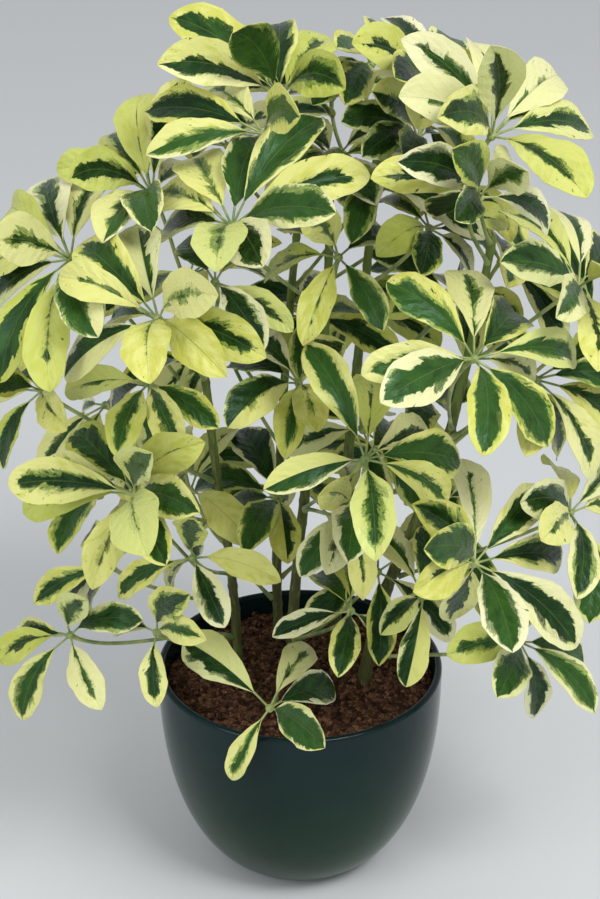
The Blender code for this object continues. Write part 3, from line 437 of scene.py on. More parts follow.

# Each wheel of leaflets is its hub (x, y, z) and its leaflets, in millimetres and degrees. The cup is how far
# they stand up from the wheel's plane. Spread is by rule, with spin the first one's angle from the way out.
# Seen is a wheel in front: each leaflet is its tip's pixel (x, y), read off the photo, and how much of its
# half width is green, left and right of the midrib if they differ, looking out from the hub.
# A list of two wheels is two leaves whose stalks leave the cane from one foot, so they are one piece.
Spread = namedtuple("Spread", "count blade cup spin")
Seen = namedtuple("Seen", "blade cup leaflets")
LEAVES = {
    "left": [
        ((-98, 0, 525), Seen(74, 20, [
            (57, 170, 0), (70, 181, 0.6), (112, 133, 0.4), (140, 96, 0), (156, 108, (0.9, 0.1)),
            (198, 78, 0.6), (224, 223, 0.15), (103, 243, (0.9, 0.1)), (152, 232, 1),
            (213, 172, 0.4),
        ])),
        ((-149, -40, 494), Seen(78, 14, [
            (10, 207, 0), (48, 178, 0.4), (70, 202, 0.95), (108, 168, 0.15), (-8, 243, 0.1),
            (-14, 272, 0), (-10, 308, 0.5), (0, 383, 0.75), (50, 392, 0.12), (98, 338, (0.2, 0.9)),
        ])),
        ((-87, -120, 485), Seen(78, 12, [
            (138, 224, (0, 0.4)), (80, 243, 0.6), (58, 276, 0), (65, 378, (0, 0.95)), (150, 384, 0),
            (227, 377, 0), (267, 358, 0.35), (218, 296, 0), (110, 325, 0.5),
        ])),
        ((-55, -50, 482), Seen(64, 6, [
            (293, 332, 0.25), (265, 350, 0.7), (226, 232, 0.05), (181, 243, 0.95), (250, 264, 0.2),
            (175, 318, 0.5),
        ])),
        ((-176, -20, 391), Seen(60, 6, [
            (67, 431, 0), (3, 469, 0.85), (-28, 412, 0.5), (-20, 388, 0.8), (16, 366, 0.3),
            (62, 352, 0.4),
        ])),
        ((-99, -62, 416), Seen(64, -2, [
            (117, 459, 0.5), (158, 461, 0.65), (219, 428, 0.75), (183, 452, 0.4), (64, 393, 0),
            (113, 415, 0.8), (190, 365, 0.6),
        ])),
        ((-79, 20, 294), Seen(62, 4, [
            (238, 428, 0.2), (242, 553, 0), (183, 428, 0.1), (196, 555, 0.9), (140, 500, 0.7),
        ])),
        ((-107, -100, 353), Seen(76, 16, [
            (22, 513, 0), (42, 478, (0.2, 0.6)), (75, 430, 0.85), (128, 440, 0.6), (153, 455, 0.6),
            (205, 443, 0), (200, 513, 0.8), (166, 566, 0.8), (148, 556, 0), (92, 590, 0),
            (8, 485, 0.5),
        ])),
        ((-74, -56, 281), Seen(62, 6, [
            (225, 628, 0.6), (282, 582, 0), (118, 597, 0.6), (172, 595, 0.1), (195, 520, 0.7),
        ])),
        ((-132, -34, 261), Seen(60, 8, [
            (33, 604, 0.5), (68, 619, 0.4), (90, 610, 0.3), (150, 545, 0.6), (90, 530, 0.7),
        ])),
        [
            ((-165, -30, 203), Seen(60, 6, [
                (13, 645, 0.7), (-2, 663, 0.2), (22, 720, 0.6), (102, 710, 0.35), (143, 620, 0.8),
                (88, 600, 0.4),
            ])),
            ((-100, -64, 226), Seen(58, 2, [
                (157, 708, 0.4), (207, 640, 0.3), (190, 595, 0.6), (118, 628, 0.6),
            ])),
        ],
        [
            ((-142, 56, 440), Spread(6, 66, 14, 0)),
            ((-141, 54, 346), Spread(6, 58, 4, 30)),
        ],
        ((-137, 62, 283), Spread(6, 66, 8, 20)),
    ],
    "centre": [
        ((-13, 20, 583), Seen(78, 30, [
            (170, 18, 0.6), (157, 65, (0.7, 0.2)), (216, 46, 0.8), (233, 37, 0.85), (280, 24, 0.85),
            (333, 39, 0.05), (345, 90, 0.5), (330, 118, 0.6),
        ])),
        ((-23, -30, 575), Seen(74, 22, [
            (204, 88, 0.08), (144, 112, 0.8), (187, 123, 0.5), (146, 155, (0.7, 0.1)),
            (300, 118, 0.6), (322, 150, 0.9),
        ])),
        ((-42, -88, 534), Seen(80, 14, [
            (190, 158, 0.1), (257, 137, 1), (323, 117, 0.95), (371, 175, 0.35), (336, 213, 0.8),
            (263, 267, 0.7), (216, 272, 0.1), (162, 233, 0.6), (155, 196, 0.1),
        ])),
        ((23, 25, 540), Spread(6, 62, 10, 0)),
        ((-1, -22, 398), Seen(68, 4, [
            (228, 366, 1), (227, 428, (0.1, 1)), (285, 460, 0.2), (318, 432, 0.1), (243, 332, 0.6),
            (345, 345, 0.7),
        ])),
        ((25, -34, 493), Seen(66, 4, [
            (266, 281, 0.1), (303, 346, 0.1), (383, 331, 0.95), (281, 228, 0.8), (300, 222, 0.1),
            (395, 240, 0.8),
        ])),
        [
            ((41, -130, 394), Seen(76, 14, [
                (305, 343, 0.75), (263, 490, (0.85, 0)), (376, 562, 0.4), (460, 463, 0.95),
                (430, 434, 0.3), (447, 502, 0.4), (396, 430, 1), (372, 378, 0.1),
            ])),
            ((34, -84, 336), Seen(64, 4, [
                (300, 577, 0.75), (326, 575, 0.1), (348, 563, 0.8), (318, 497, 0), (342, 466, 0.1),
                (363, 600, 0.05),
            ])),
        ],
        ((-21, -100, 187), Seen(64, 8, [
            (183, 640, (0.7, 0)), (311, 646, 0.05), (334, 690, 1), (325, 748, 1), (232, 779, 0.45),
        ])),
        [
            ((35, -70, 247), Seen(58, 4, [
                (272, 637, 0.75), (338, 678, 0.75), (316, 574, 0.9), (345, 560, 0.2),
                (385, 650, 0.6),
            ])),
            ((55, -28, 254), Spread(6, 56, 2, 0)),
        ],
        [
            ((-54, 62, 391), Spread(6, 62, 4, 10)),
            ((-15, 10, 293), Seen(64, 4, [
                (194, 490, 1), (238, 430, 1), (288, 564, (0.6, 0)), (244, 554, 0.8), (222, 520, 0.8),
            ])),
        ],
    ],
    "middle": [
        ((47, 40, 601), Seen(62, 20, [
            (343, 42, 0.1), (380, 25, 0.8), (336, 48, 0.7), (412, 92, 0.6), (320, 70, 0.9),
            (345, 105, 0.8),
        ])),
        ((22, 84, 566), Spread(6, 66, 26, 0)),
        ((84, 10, 594), Seen(74, 30, [
            (384, 18, 0.65), (352, 44, 0.3), (450, 38, 0.9), (395, 78, 0.9), (470, 75, 0.2),
            (418, 130, 0.1),
        ])),
        ((77, 5, 561), Seen(62, 10, [
            (372, 92, (0.9, 0.1)), (341, 122, 1), (362, 157, 0.85), (428, 68, (0.05, 0.9)),
            (450, 100, 0.3), (437, 152, 1), (405, 165, 0.9),
        ])),
        ((86, -4, 502), Seen(60, 4, [
            (376, 256, 0.05), (368, 205, 0.7), (421, 276, 0.8), (490, 252, 1), (484, 274, 0.4),
            (392, 182, 0.3), (500, 238, 0.1),
        ])),
        ((46, 16, 527), Spread(5, 62, 10, 22)),
        [
            ((108, 62, 425), Spread(6, 62, 6, 12)),
            ((44, 0, 352), Spread(6, 60, 0, 26)),
        ],
        ((2, 40, 420), Spread(6, 62, 2, 14)),
    ],
    "right": [
        ((107, -130, 463), Seen(76, 14, [
            (380, 403, 0.75), (361, 375, 0.4), (386, 281, (0.95, 0.45)), (460, 270, (0.05, 0.3)),
            (515, 312, 1), (577, 358, 0.4), (548, 447, 0.7), (484, 457, 0.65), (535, 380, 0.2),
        ])),
        ((153, -72, 423), Seen(74, 10, [
            (591, 477, 0.3), (640, 387, 0.9), (625, 440, 0.5), (618, 350, 0.9), (556, 458, 0.6),
            (526, 457, 0.1), (500, 345, 0.6),
        ])),
        ((182, -40, 475), Seen(74, 16, [
            (500, 262, (0.45, 1)), (500, 212, 0.15), (548, 207, (0, 0.5)), (608, 242, 0.8),
            (630, 280, 0), (556, 318, 0.65), (598, 372, 0.2),
        ])),
        ((111, -80, 550), Seen(72, 14, [
            (432, 128, 0.6), (452, 150, 0.9), (397, 162, 0.7), (370, 178, 0.4), (437, 217, 1),
            (455, 220, 1), (486, 141, 0.15), (528, 172, 0.35), (548, 232, 0.5),
        ])),
        ((121, -38, 576), Seen(80, 28, [
            (401, 40, 0.35), (432, 42, 0.05), (470, 42, 0), (490, 48, 0.35), (557, 75, 0.05),
            (553, 104, 0.55), (592, 133, 0.55), (587, 198, 0.2), (437, 118, 0.6), (422, 80, 0.05),
        ])),
        ((140, 50, 458), Spread(6, 66, 16, 0)),
        ((206, 20, 425), Spread(7, 68, 12, 28)),
        ((114, -120, 313), Seen(76, 14, [
            (413, 592, (0, 0.25)), (450, 620, 0.5), (513, 653, 0.85), (577, 648, 0.65),
            (562, 560, (0.8, 0.5)), (541, 489, 0.75), (412, 505, 0.6), (424, 550, 1),
            (462, 458, 0.1),
        ])),
        ((185, -50, 313), Seen(68, 10, [
            (520, 502, 0.6), (541, 541, 0.2), (577, 600, 0.65), (543, 463, 0), (605, 468, 0.3),
            (625, 508, 0.2), (606, 626, 0), (589, 624, 0.9),
        ])),
        ((154, -62, 217), Seen(66, 4, [
            (446, 655, 0.4), (497, 698, 0.8), (533, 717, 0.75), (596, 714, 0.6), (584, 662, 0.85),
            (520, 590, 0.7),
        ])),
        ((85, -62, 254), Seen(62, 2, [
            (380, 635, (0.15, 0.75)), (406, 687, (0, 0.95)), (373, 577, (0, 0.5)), (438, 624, 0),
            (400, 560, 0.8),
        ])),
        [
            ((90, 40, 357), Seen(60, 2, [
                (452, 436, 1), (412, 442, 0.9), (446, 390, 0), (398, 368, 0.8), (470, 400, 0.9),
            ])),
            ((102, 22, 284), Seen(58, 2, [
                (404, 548, 0.3), (487, 503, 0.7), (425, 590, 0.8), (484, 618, 1), (380, 500, 0.7),
            ])),
        ],
    ],
    "back": [
        ((-52, 120, 520), Spread(7, 68, 20, 0)),
        ((44, 138, 482), Spread(7, 68, 16, 20)),
        ((104, 96, 500), Spread(7, 66, 14, 8)),
        ((-83, 146, 411), Spread(7, 68, 12, 30)),
        ((34, 172, 372), Spread(7, 68, 12, 12)),
        ((112, 128, 400), Spread(7, 66, 12, 0)),
        ((-92, 104, 262), Spread(7, 63, 6, 24)),
        ((70, 124, 268), Spread(7, 63, 6, 6)),
        ((-14, 136, 236), Spread(7, 60, 4, 16)),
    ],
}
FIRST_SEED = 7
OUTWARD_LEAN = 6.0
LIGHT_LEAN = 0.2

# How a stalk leaves its cane, the ways that it may take if the nearest is full, and how it meets its hub
STALK_RADIUS = 1.5 * MM
STALK_FOOT = 1.7
STALK_STEP = 2.5 * MM
STALK_STEPS = 16
STALK_SKIN = 0.92
STALK_REACH = 0.62
STALK_RISE = 24 * MM
STALK_LOWEST = 25 * MM
STALK_HIGHEST = 5 * MM
STALK_OUT, STALK_UP, STALK_END = 0.18, 0.14, 0.3
STALK_DROPS = (1.0, 1.25, 0.8, 1.5, 0.62)
STALK_TURNS = (0, 25, -25, 50, -50)
SEAT_SAMPLES = 12
SEAT_FAR = 30 * MM
GAP = 0.3 * MM
HUB_RADIUS = 3.4 * MM

# A leaflet's parts as shares of its length, the light that it turns its face to, and how it arches and droops
LEAFLET_STALK = 0.17
BLADE_WIDTH = 0.2
BLADE_THICK = 1.2 * MM
BLADE_MEAN, BLADE_OUTER = 1.05, 0.1
BLADE_BASE = 1.15
BLADE_POINTS = (0.62, 0.86)
LIGHT = Vector((0, -0.9, 0.44))
LIGHT_TURN = 1.5
ARCH = 0.62
DROOP = 0.34

# How far a leaflet may bend aside for its neighbours: degrees up, degrees round, and its size
BEND_RISES = (0, 10, -10, 20, -20, 32, -32, 46, -46)
BEND_TURNS = (0, 8, -8, 16, -16)
BEND_SIZES = (1.0, 0.88, 0.76)
BEND_COSTS = (1 / 10, 1 / 9, 9)
STRAIGHT = (0, 0, 1.0)

# How a leaflet is aimed at its pixel, how near a corner of the solid counts as its tip, and its usual green
AIM_STEPS = 6
STRETCHES = (1, 0.94, 1.06, 0.88, 1.12, 0.82, 1.18)
STRETCH_COST = 90
FOUND = 0.05 * MM
USUAL_GREEN = (0.3, 0.95)


def leaf_axis(hub):
    """The way a leaf's wheel faces: up, outward the further out it stands, and a little to the light."""
    return Vector((hub.x * OUTWARD_LEAN, hub.y * OUTWARD_LEAN - LIGHT_LEAN, 1)).normalized()


def outward(hub, axis):
    """The way out from the plant's middle, in the wheel's plane."""
    away = Vector((hub.x, hub.y, 0))
    flat = away - axis * away.dot(axis)
    return flat.normalized()


def nearest_on(route, height):
    """The point of a cane's line at a height, and the way the cane runs there."""
    for low, high in zip(route, route[1:]):
        if low.z <= height <= high.z:
            return low.lerp(high, (height - low.z) / (high.z - low.z)), (high - low).normalized()
    return route[-1].copy(), (route[-1] - route[-2]).normalized()


def seat(skin, foot, away, run):
    """Where a stalk's flat foot just clears its cane's skin, on its way out from the cane's middle."""
    side = away.cross(run)
    radius = STALK_RADIUS * STALK_FOOT
    reach = 0.0
    turns = [2 * math.pi * k / SEAT_SAMPLES for k in range(SEAT_SAMPLES)]
    for shift in (Vector(), *(side * math.cos(turn) + run * math.sin(turn) for turn in turns)):
        hit = skin.ray_cast(foot + shift * radius + away * SEAT_FAR, -away, 2 * SEAT_FAR)
        if hit[0]:
            reach = max(reach, SEAT_FAR - hit[3])
    return foot + away * (reach + GAP)


def stalk_routes(cane, skin, hub, shared=None):
    """The ways that a leaf's stalk may take from its cane to its hub: start, two handles, and its way out."""
    route = cane_route(cane)
    axis = leaf_axis(hub)
    lowest, highest = SOIL_TOP + STALK_LOWEST, route[-1].z - STALK_HIGHEST
    span = math.hypot(hub.x - route[-1].x, hub.y - route[-1].y)
    for drop in STALK_DROPS:
        for turn in STALK_TURNS:
            height = min(max(hub.z - STALK_RISE - STALK_REACH * span * drop, lowest), highest)
            foot, run = nearest_on(route, shared.z if shared else height)
            away = hub - foot
            away = (away - run * away.dot(run)).normalized()
            away = Matrix.Rotation(math.radians(turn), 3, run) @ away
            start = shared or seat(skin, foot, away, run)
            reach = (hub - start).length
            leaving = start + (away * STALK_OUT + UP * STALK_UP) * reach
            yield start, leaving, hub - axis * STALK_END * reach, away


def bezier(start, a, b, end, t):
    return start * (1 - t) ** 3 + a * 3 * t * (1 - t) ** 2 + b * 3 * t**2 * (1 - t) + end * t**3


class Leaflet:
    """The line, size and lie of one leaflet. bend is how far it has left its own place: rise, turn, size."""

    def __init__(self, hub, axis, out, angle, lift, length, draw, bend):
        rise, turn, size = bend
        around = math.radians(angle + turn)
        self.length = length * size
        self.stalk = self.length * LEAFLET_STALK * draw["stalk"]
        self.half = self.length * BLADE_WIDTH * draw["width"]
        self.fold = math.radians(draw["fold"])
        way = out * math.cos(around) + axis.cross(out) * math.sin(around)
        lift = math.radians(lift + rise)
        self.hub = hub
        self.way = (way * math.cos(lift) + axis * math.sin(lift)).normalized()
        self.side = (axis + LIGHT * LIGHT_TURN).cross(self.way).normalized()
        self.axis = axis
        self.twist = math.radians(draw["twist"])
        self.arch = ARCH * draw["arch"]

    def frames(self, shares, steps=16):
        """(point, side, normal) at each share of the blade's length."""
        point, way, side = self.hub + self.way * self.stalk, self.way.copy(), self.side.copy()
        walked = [(point.copy(), way.copy(), side.copy())]
        for _ in range(steps):
            way = (way - (self.axis * self.arch + UP * DROOP) / steps).normalized()
            point = point + way * self.length / steps
            side = (side - way * side.dot(way)).normalized()
            walked.append((point.copy(), way.copy(), side.copy()))
        found = []
        for share in shares:
            place = share * steps
            k = min(int(place), steps - 1)
            (a, way_a, side_a), (b, way_b, side_b) = walked[k : k + 2]
            pairs = (a, b), (way_a, way_b), (side_a, side_b)
            point, way, side = (p.lerp(q, place - k) for p, q in pairs)
            normal = way.cross(side).normalized()
            turn = self.twist * share
            across = side * math.cos(turn) + normal * math.sin(turn)
            found.append((point, across, normal * math.cos(turn) - side * math.sin(turn)))
        return found

    def tip(self):
        return self.frames([1.0])[0][0]

    def solid_tip(self):
        """Where the solid leaflet has its tip's one corner."""
        return self.tip() - self.frames([1.0])[0][2] * BLADE_THICK / 2


def bends():
    """How a leaflet may bend aside: (rise, turn, size), the mildest first."""
    every = [(rise, turn, size) for rise in BEND_RISES for turn in BEND_TURNS for size in BEND_SIZES]
    rise_cost, turn_cost, size_cost = BEND_COSTS
    return sorted(every, key=lambda b: abs(b[0]) * rise_cost + abs(b[1]) * turn_cost + (1 - b[2]) * size_cost)


def draws(seed):
    """What differs from leaflet to leaflet."""
    rng = random.Random(seed)
    while True:
        yield {
            "around": rng.uniform(-6, 6),
            "size": rng.uniform(0.9, 1.06),
            "stalk": rng.uniform(0.8, 1.3),
            "width": rng.uniform(0.88, 1.1),
            "fold": rng.uniform(6, 20),
            "lift": rng.uniform(-8, 8),
            "twist": rng.uniform(-16, 16),
            "arch": rng.uniform(0.6, 1.35),
        }


def corners_of(name):
    """The solid node's corners, ready to be asked what lies near a point."""
    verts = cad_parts[name].data.vertices
    tree = KDTree(len(verts))
    for i, vert in enumerate(verts):
        tree.insert(vert.co, i)
    tree.balance()
    return tree


def sight(pixel):
    """The way from the eye through a pixel of the photo."""
    right = (pixel[0] - MIDDLE_PIXEL[0]) / FOCAL_PIXELS
    up = (MIDDLE_PIXEL[1] - pixel[1]) / FOCAL_PIXELS
    down = Matrix.Rotation(-CAMERA_DOWN, 3, "X")
    return (down @ Vector((right, 1, up))).normalized()


def aimed(hub, axis, out, pixel, wheel, own):
    """The ways (angle, lift, length) that put a leaflet's tip where the photo shows it, the likeliest first.

    Two places on the pixel's line of sight are a leaflet's reach from the hub. Where the line passes further
    off, the leaflet is longer. The likeliest way is near the usual length, and lifted as its wheel is cupped.
    """
    way = sight(pixel)
    nearest = CAMERA_PLACE + way * (hub - CAMERA_PLACE).dot(way)
    off = (nearest - hub).length
    found = []
    for stretch in STRETCHES:
        length = wheel.blade * MM * stretch
        reach = (Leaflet(hub, axis, out, 0, wheel.cup, length, own, STRAIGHT).tip() - hub).length
        length *= max(off / reach, 1)
        along = way * math.sqrt(max(reach**2 - off**2, 0))
        for tip in (nearest + along, nearest - along):
            aim = tip - hub
            for _ in range(AIM_STEPS):
                angle = math.degrees(math.atan2(aim.dot(axis.cross(out)), aim.dot(out)))
                lift = math.degrees(math.asin(aim.normalized().dot(axis)))
                aim += tip - Leaflet(hub, axis, out, angle, lift, length, own, STRAIGHT).tip()
            strain = abs(lift - wheel.cup) + STRETCH_COST * abs(length / (wheel.blade * MM) - 1)
            found.append((strain, angle, lift, length))
    return [place for _, *place in sorted(found)]


def ways(hub, axis, out, leaflets, seed):
    """For each leaflet of a wheel, the leaflets it may be: in its own place first, then the mildest bends."""
    count = leaflets.count if isinstance(leaflets, Spread) else len(leaflets.leaflets)
    for i, own in zip(range(count), draws(seed)):
        if isinstance(leaflets, Seen):
            places = aimed(hub, axis, out, leaflets.leaflets[i][:2], leaflets, own)
        else:
            angle = 360 * i / leaflets.count + leaflets.spin + own["around"]
            outer = BLADE_MEAN + BLADE_OUTER * math.cos(math.radians(angle))
            places = [(angle, leaflets.cup + own["lift"], leaflets.blade * MM * outer * own["size"])]
        tries = [(place, STRAIGHT) for place in places] + [(places[0], bend) for bend in bends()]
        yield (Leaflet(hub, axis, out, *place, own, bend) for place, bend in tries)


def grown_leaflets(corners, hub, leaflets, seed):
    """(number, leaflet) as the solid leaf has them: each is the one whose tip is a corner of the solid."""
    axis = leaf_axis(hub)
    grown = []
    for i, tries in enumerate(ways(hub, axis, outward(hub, axis), leaflets, seed)):
        for leaflet in tries:
            if corners.find(leaflet.solid_tip())[2] < FOUND:
                grown.append((i, leaflet))
                break
    return grown


def grown_stalk(corners, cane, skin, hub, shared):
    """The stalk's line as the solid has it: the way whose middle has four corners a stalk's radius off."""
    for start, a, b, away in stalk_routes(cane, skin, hub, shared):
        middle = bezier(start, a, b, hub, 0.5)
        if all(abs(off - STALK_RADIUS) < 2 * FOUND for _, _, off in corners.find_n(middle, 4)):
            break
    line = [bezier(start, a, b, hub, k / STALK_STEPS) for k in range(STALK_STEPS + 1)]
    return line, start + away * STALK_STEP


# One flat leaflet of two by two units is modelled, and each real one is a bent copy of it. x is across the
# blade from the midrib, y along it, and z through its thickness.
BLADE_COLUMNS, BLADE_ROWS = 10, 18
ROW_CROWDING = 0.65
bpy.ops.object.select_all(action="DESELECT")
bpy.ops.mesh.primitive_grid_add(x_subdivisions=BLADE_COLUMNS, y_subdivisions=BLADE_ROWS, size=2)
flat_blade = bpy.context.object
flat_blade.name = flat_blade.data.name = "flat_blade"
flat_blade.data.uv_layers[0].name = "blade"
thicken = flat_blade.modifiers.new("thicken", "SOLIDIFY")
thicken.thickness, thicken.offset = 2, 0
bpy.ops.object.modifier_apply(modifier="thicken")
flat = np.empty(len(flat_blade.data.vertices) * 3)
flat_blade.data.vertices.foreach_get("co", flat)
flat = flat.reshape(-1, 3)
ROW_SPREAD = 0.5 - 0.5 * np.cos(np.linspace(0, np.pi, BLADE_ROWS + 1))
ROW_SHARES = 0.35 * np.linspace(0, 1, BLADE_ROWS + 1) + ROW_CROWDING * ROW_SPREAD
row_of = np.rint((flat[:, 1] + 1) / 2 * BLADE_ROWS).astype(int)

# The blade's free shape: lobes of two sizes along its outline, a waved edge, ripples, and a keel under the
# midrib. Its face and back lie a little off the middle of the solid leaflet.
# Each wave has its height, and how many radians of it run along the blade.
LOBE, LOBE_RUN = 0.045, 15
SMALL_LOBE, SMALL_LOBE_RUN = 0.02, 31
EDGE_WAVE, EDGE_WAVE_RUN = 1.3 * MM, 10
RIPPLE, RIPPLE_RUN = 0.45 * MM, 50
KEEL, KEEL_WIDTH = 0.75 * MM, 0.13
FACE_LIFT, BACK_DROP = 0.12 * MM, 0.25 * MM
LEAST_HALF = 0.75 * MM
GREEN_SPREAD = 0.07
VEIN_RISE = 0.16


def blade_width(share, point):
    """Half the blade's width along it, as a share of the widest. A higher point gives a sharper tip."""
    widest = BLADE_BASE / (BLADE_BASE + point)
    return share**BLADE_BASE * (1 - share) ** point / (widest**BLADE_BASE * (1 - widest) ** point)


def leaflet_blade(name, leaflet, green, rng):
    """A bent copy of the flat blade, with its own values for the colour pattern: two greens and two draws."""
    made = bpy.data.objects.new(name, flat_blade.data.copy())
    bpy.context.scene.collection.objects.link(made)
    frames = leaflet.frames(ROW_SHARES)
    points, sides, normals = (np.array([tuple(f[k]) for f in frames])[row_of] for k in range(3))
    v = ROW_SHARES[row_of]
    u = flat[:, 0]
    a = np.abs(u)
    right = u > 0
    wave = [rng.uniform(0, 6.28) for _ in range(4)]
    width = blade_width(v, rng.uniform(*BLADE_POINTS))
    lobes = 1 + LOBE * np.sin(v * LOBE_RUN + wave[0] + right * 2.4)
    lobes = lobes + SMALL_LOBE * np.sin(v * SMALL_LOBE_RUN + wave[1] + right * 1.3)
    half = np.maximum(leaflet.half * width * lobes, LEAST_HALF * (1 - 0.7 * v))
    rise = half * math.sin(leaflet.fold) * (1.35 * a - 0.35 * a**2)
    rise = rise + EDGE_WAVE * np.sin(v * EDGE_WAVE_RUN + wave[2] + right * 2) * a**2 * np.sin(np.pi * v)
    rise = rise + RIPPLE * np.sin((v - VEIN_RISE * a) * RIPPLE_RUN + wave[3]) * a * np.sin(np.pi * v)
    keel = KEEL * (1 - v) * np.exp(-((a / KEEL_WIDTH) ** 2))
    rise = rise + np.where(flat[:, 2] > 0, FACE_LIFT, -BACK_DROP - keel)
    across = u * half * math.cos(leaflet.fold)
    co = points + sides * across[:, None] + normals * rise[:, None]
    made.data.vertices.foreach_set("co", co.ravel())
    if isinstance(green, tuple):
        left_green, right_green = green
    else:
        left_green, right_green = (green + rng.gauss(0, GREEN_SPREAD) for _ in range(2))
    values = [max(right_green, 0), max(left_green, 0), rng.random(), rng.random()]
    tone = made.data.attributes.new("leaflet", "FLOAT_COLOR", "POINT")
    tone.data.foreach_set("color", np.tile(values, len(flat)))
    under = made.data.attributes.new("under", "FLOAT", "POINT")
    under.data.foreach_set("value", (flat[:, 2] < 0).astype(float))
    return made


# Leaf blade of the variegated kind: leathery and softly glossy. The middle is dark green, and breaks up along
# the side veins into mid green and then butter yellow at the edge. The underside is duller, its green a
# little paler, and its yellow painted a darker olive as painted shade.
LEAF_DARK, LEAF_GREEN, LEAF_MID, LEAF_LIGHT = "193112", "365a22", "648236", "91a54a"
LEAF_YELLOW, LEAF_CREAM, LEAF_GOLD, LEAF_LIME = "dfdf84", "eceabb", "c8c956", "bac757"
LEAF_MIDRIB, LEAF_VEIN = "a5b565", "a9b96a"
LEAF_UNDER_SHADE_OLIVE, LEAF_UNDER_DARK = "a9ab55", "263c17"
LEAF_SHEEN = "b4e0cf"
VEINS = 8.0
FINE_VEINS = 1.25 * VEINS
# Noises that move the green's edge: scale, detail, roughness, and how far, in half widths of the blade
EDGE_CLOUD = (1.1, 1.0, 0.5, 0.5)
EDGE_TEETH = (1.4, 5.0, 0.62, 0.42)
EDGE_NICKS = (12.0, 3.0, 0.6, 0.16)
FRINGE_TEETH = (1.9, 5.0, 0.66, 0.36)
PANEL_REACH, PANEL_FRINGE = 0.3, 0.2
SOFT = {"interpolation_type": "SMOOTHSTEP"}
FADING = {"To Min": 1.0, "To Max": 0.0}
leaf_blade, tree = new_material("variegated_leaf_blade")
uv = node(tree, "SeparateXYZ", {"Vector": node(tree, "UVMap", uv_map="blade")})
values = node(tree, "Attribute", attribute_name="leaflet")
parts = node(tree, "SeparateColor", {"Color": values.outputs["Color"]})
left_green, right_green, seed_value = (parts.outputs[k] for k in ("Red", "Green", "Blue"))
tone_value = values.outputs["Alpha"]
under_value = node(tree, "Attribute", attribute_name="under").outputs["Fac"]

# Where a point lies on its leaflet: signed from edge to edge, out from the midrib, and its side vein's foot
signed = node(tree, "Math", {0: uv.outputs["X"], 1: 2.0, 2: -1.0}, operation="MULTIPLY_ADD")
out = node(tree, "Math", {0: signed}, operation="ABSOLUTE")
along_blade = uv.outputs["Y"]
right_side = node(tree, "Math", {0: signed, 1: 0.0}, operation="GREATER_THAN")
left_side = node(tree, "Math", {0: 1.0, 1: right_side}, operation="SUBTRACT")
left_share = node(tree, "Math", {0: left_green, 1: left_side}, operation="MULTIPLY")
share = node(tree, "Math", {0: right_green, 1: right_side, 2: left_share}, operation="MULTIPLY_ADD")
vein_lift = node(tree, "Math", {0: out, 1: VEIN_RISE}, operation="MULTIPLY")
rib = node(tree, "Math", {0: along_blade, 1: vein_lift}, operation="SUBTRACT")


def own_place(across, seed_step, up, tone_step):
    """A place to read a noise at, another on each leaflet. A large up makes it streak along the veins."""
    shift = node(tree, "Math", {0: seed_value, 1: seed_step}, operation="MULTIPLY")
    return node(
        tree,
        "CombineXYZ",
        {
            "X": node(tree, "Math", {0: signed, 1: across, 2: shift}, operation="MULTIPLY_ADD"),
            "Y": node(tree, "Math", {0: rib, 1: up}, operation="MULTIPLY"),
            "Z": node(tree, "Math", {0: tone_value, 1: tone_step}, operation="MULTIPLY"),
        },
    )


def varied(value, moves, much):
    """The value, moved up or down by much times a noise or draw between 0 and 1."""
    shift = node(tree, "Math", {0: moves, 1: 0.5}, operation="SUBTRACT")
    return node(tree, "Math", {0: shift, 1: much, 2: value}, operation="MULTIPLY_ADD")


def moved_edge(value, place, cloud):
    """An edge of the green moved by one of the noises above."""
    scale, detail, roughness, much = cloud
    settings = {"Vector": place, "Scale": scale, "Detail": detail, "Roughness": roughness}
    return varied(value, node(tree, "TexNoise", settings), much)


spot = own_place(1.3, 37.0, 5.0, 19.0)
veinwise = own_place(1.7, 61.0, 12.0, 23.0)

# The green ends in teeth along the side veins. Each panel between two veins has a reach of its own.
wander = node(tree, "TexNoise", {"Vector": spot, "Scale": 0.7, "Detail": 1.0, "Roughness": 0.5})
vein_wander = node(tree, "Math", {0: wander, 1: 1.6}, operation="MULTIPLY")
panel_place = node(tree, "Math", {0: rib, 1: VEINS, 2: vein_wander}, operation="MULTIPLY_ADD")
panel_shift = node(tree, "Math", {0: seed_value, 1: 91.0}, operation="MULTIPLY")
draw_place = node(
    tree,
    "CombineXYZ",
    {
        "X": node(tree, "Math", {0: panel_place}, operation="FLOOR"),
        "Y": node(tree, "Math", {0: right_side, 1: 3.7, 2: panel_shift}, operation="MULTIPLY_ADD"),
        "Z": node(tree, "Math", {0: tone_value, 1: 53.0}, operation="MULTIPLY"),
    },
)
panel_draw = node(tree, "TexWhiteNoise", {"Vector": draw_place}).outputs["Color"]
panel = node(tree, "SeparateColor", {"Color": panel_draw})

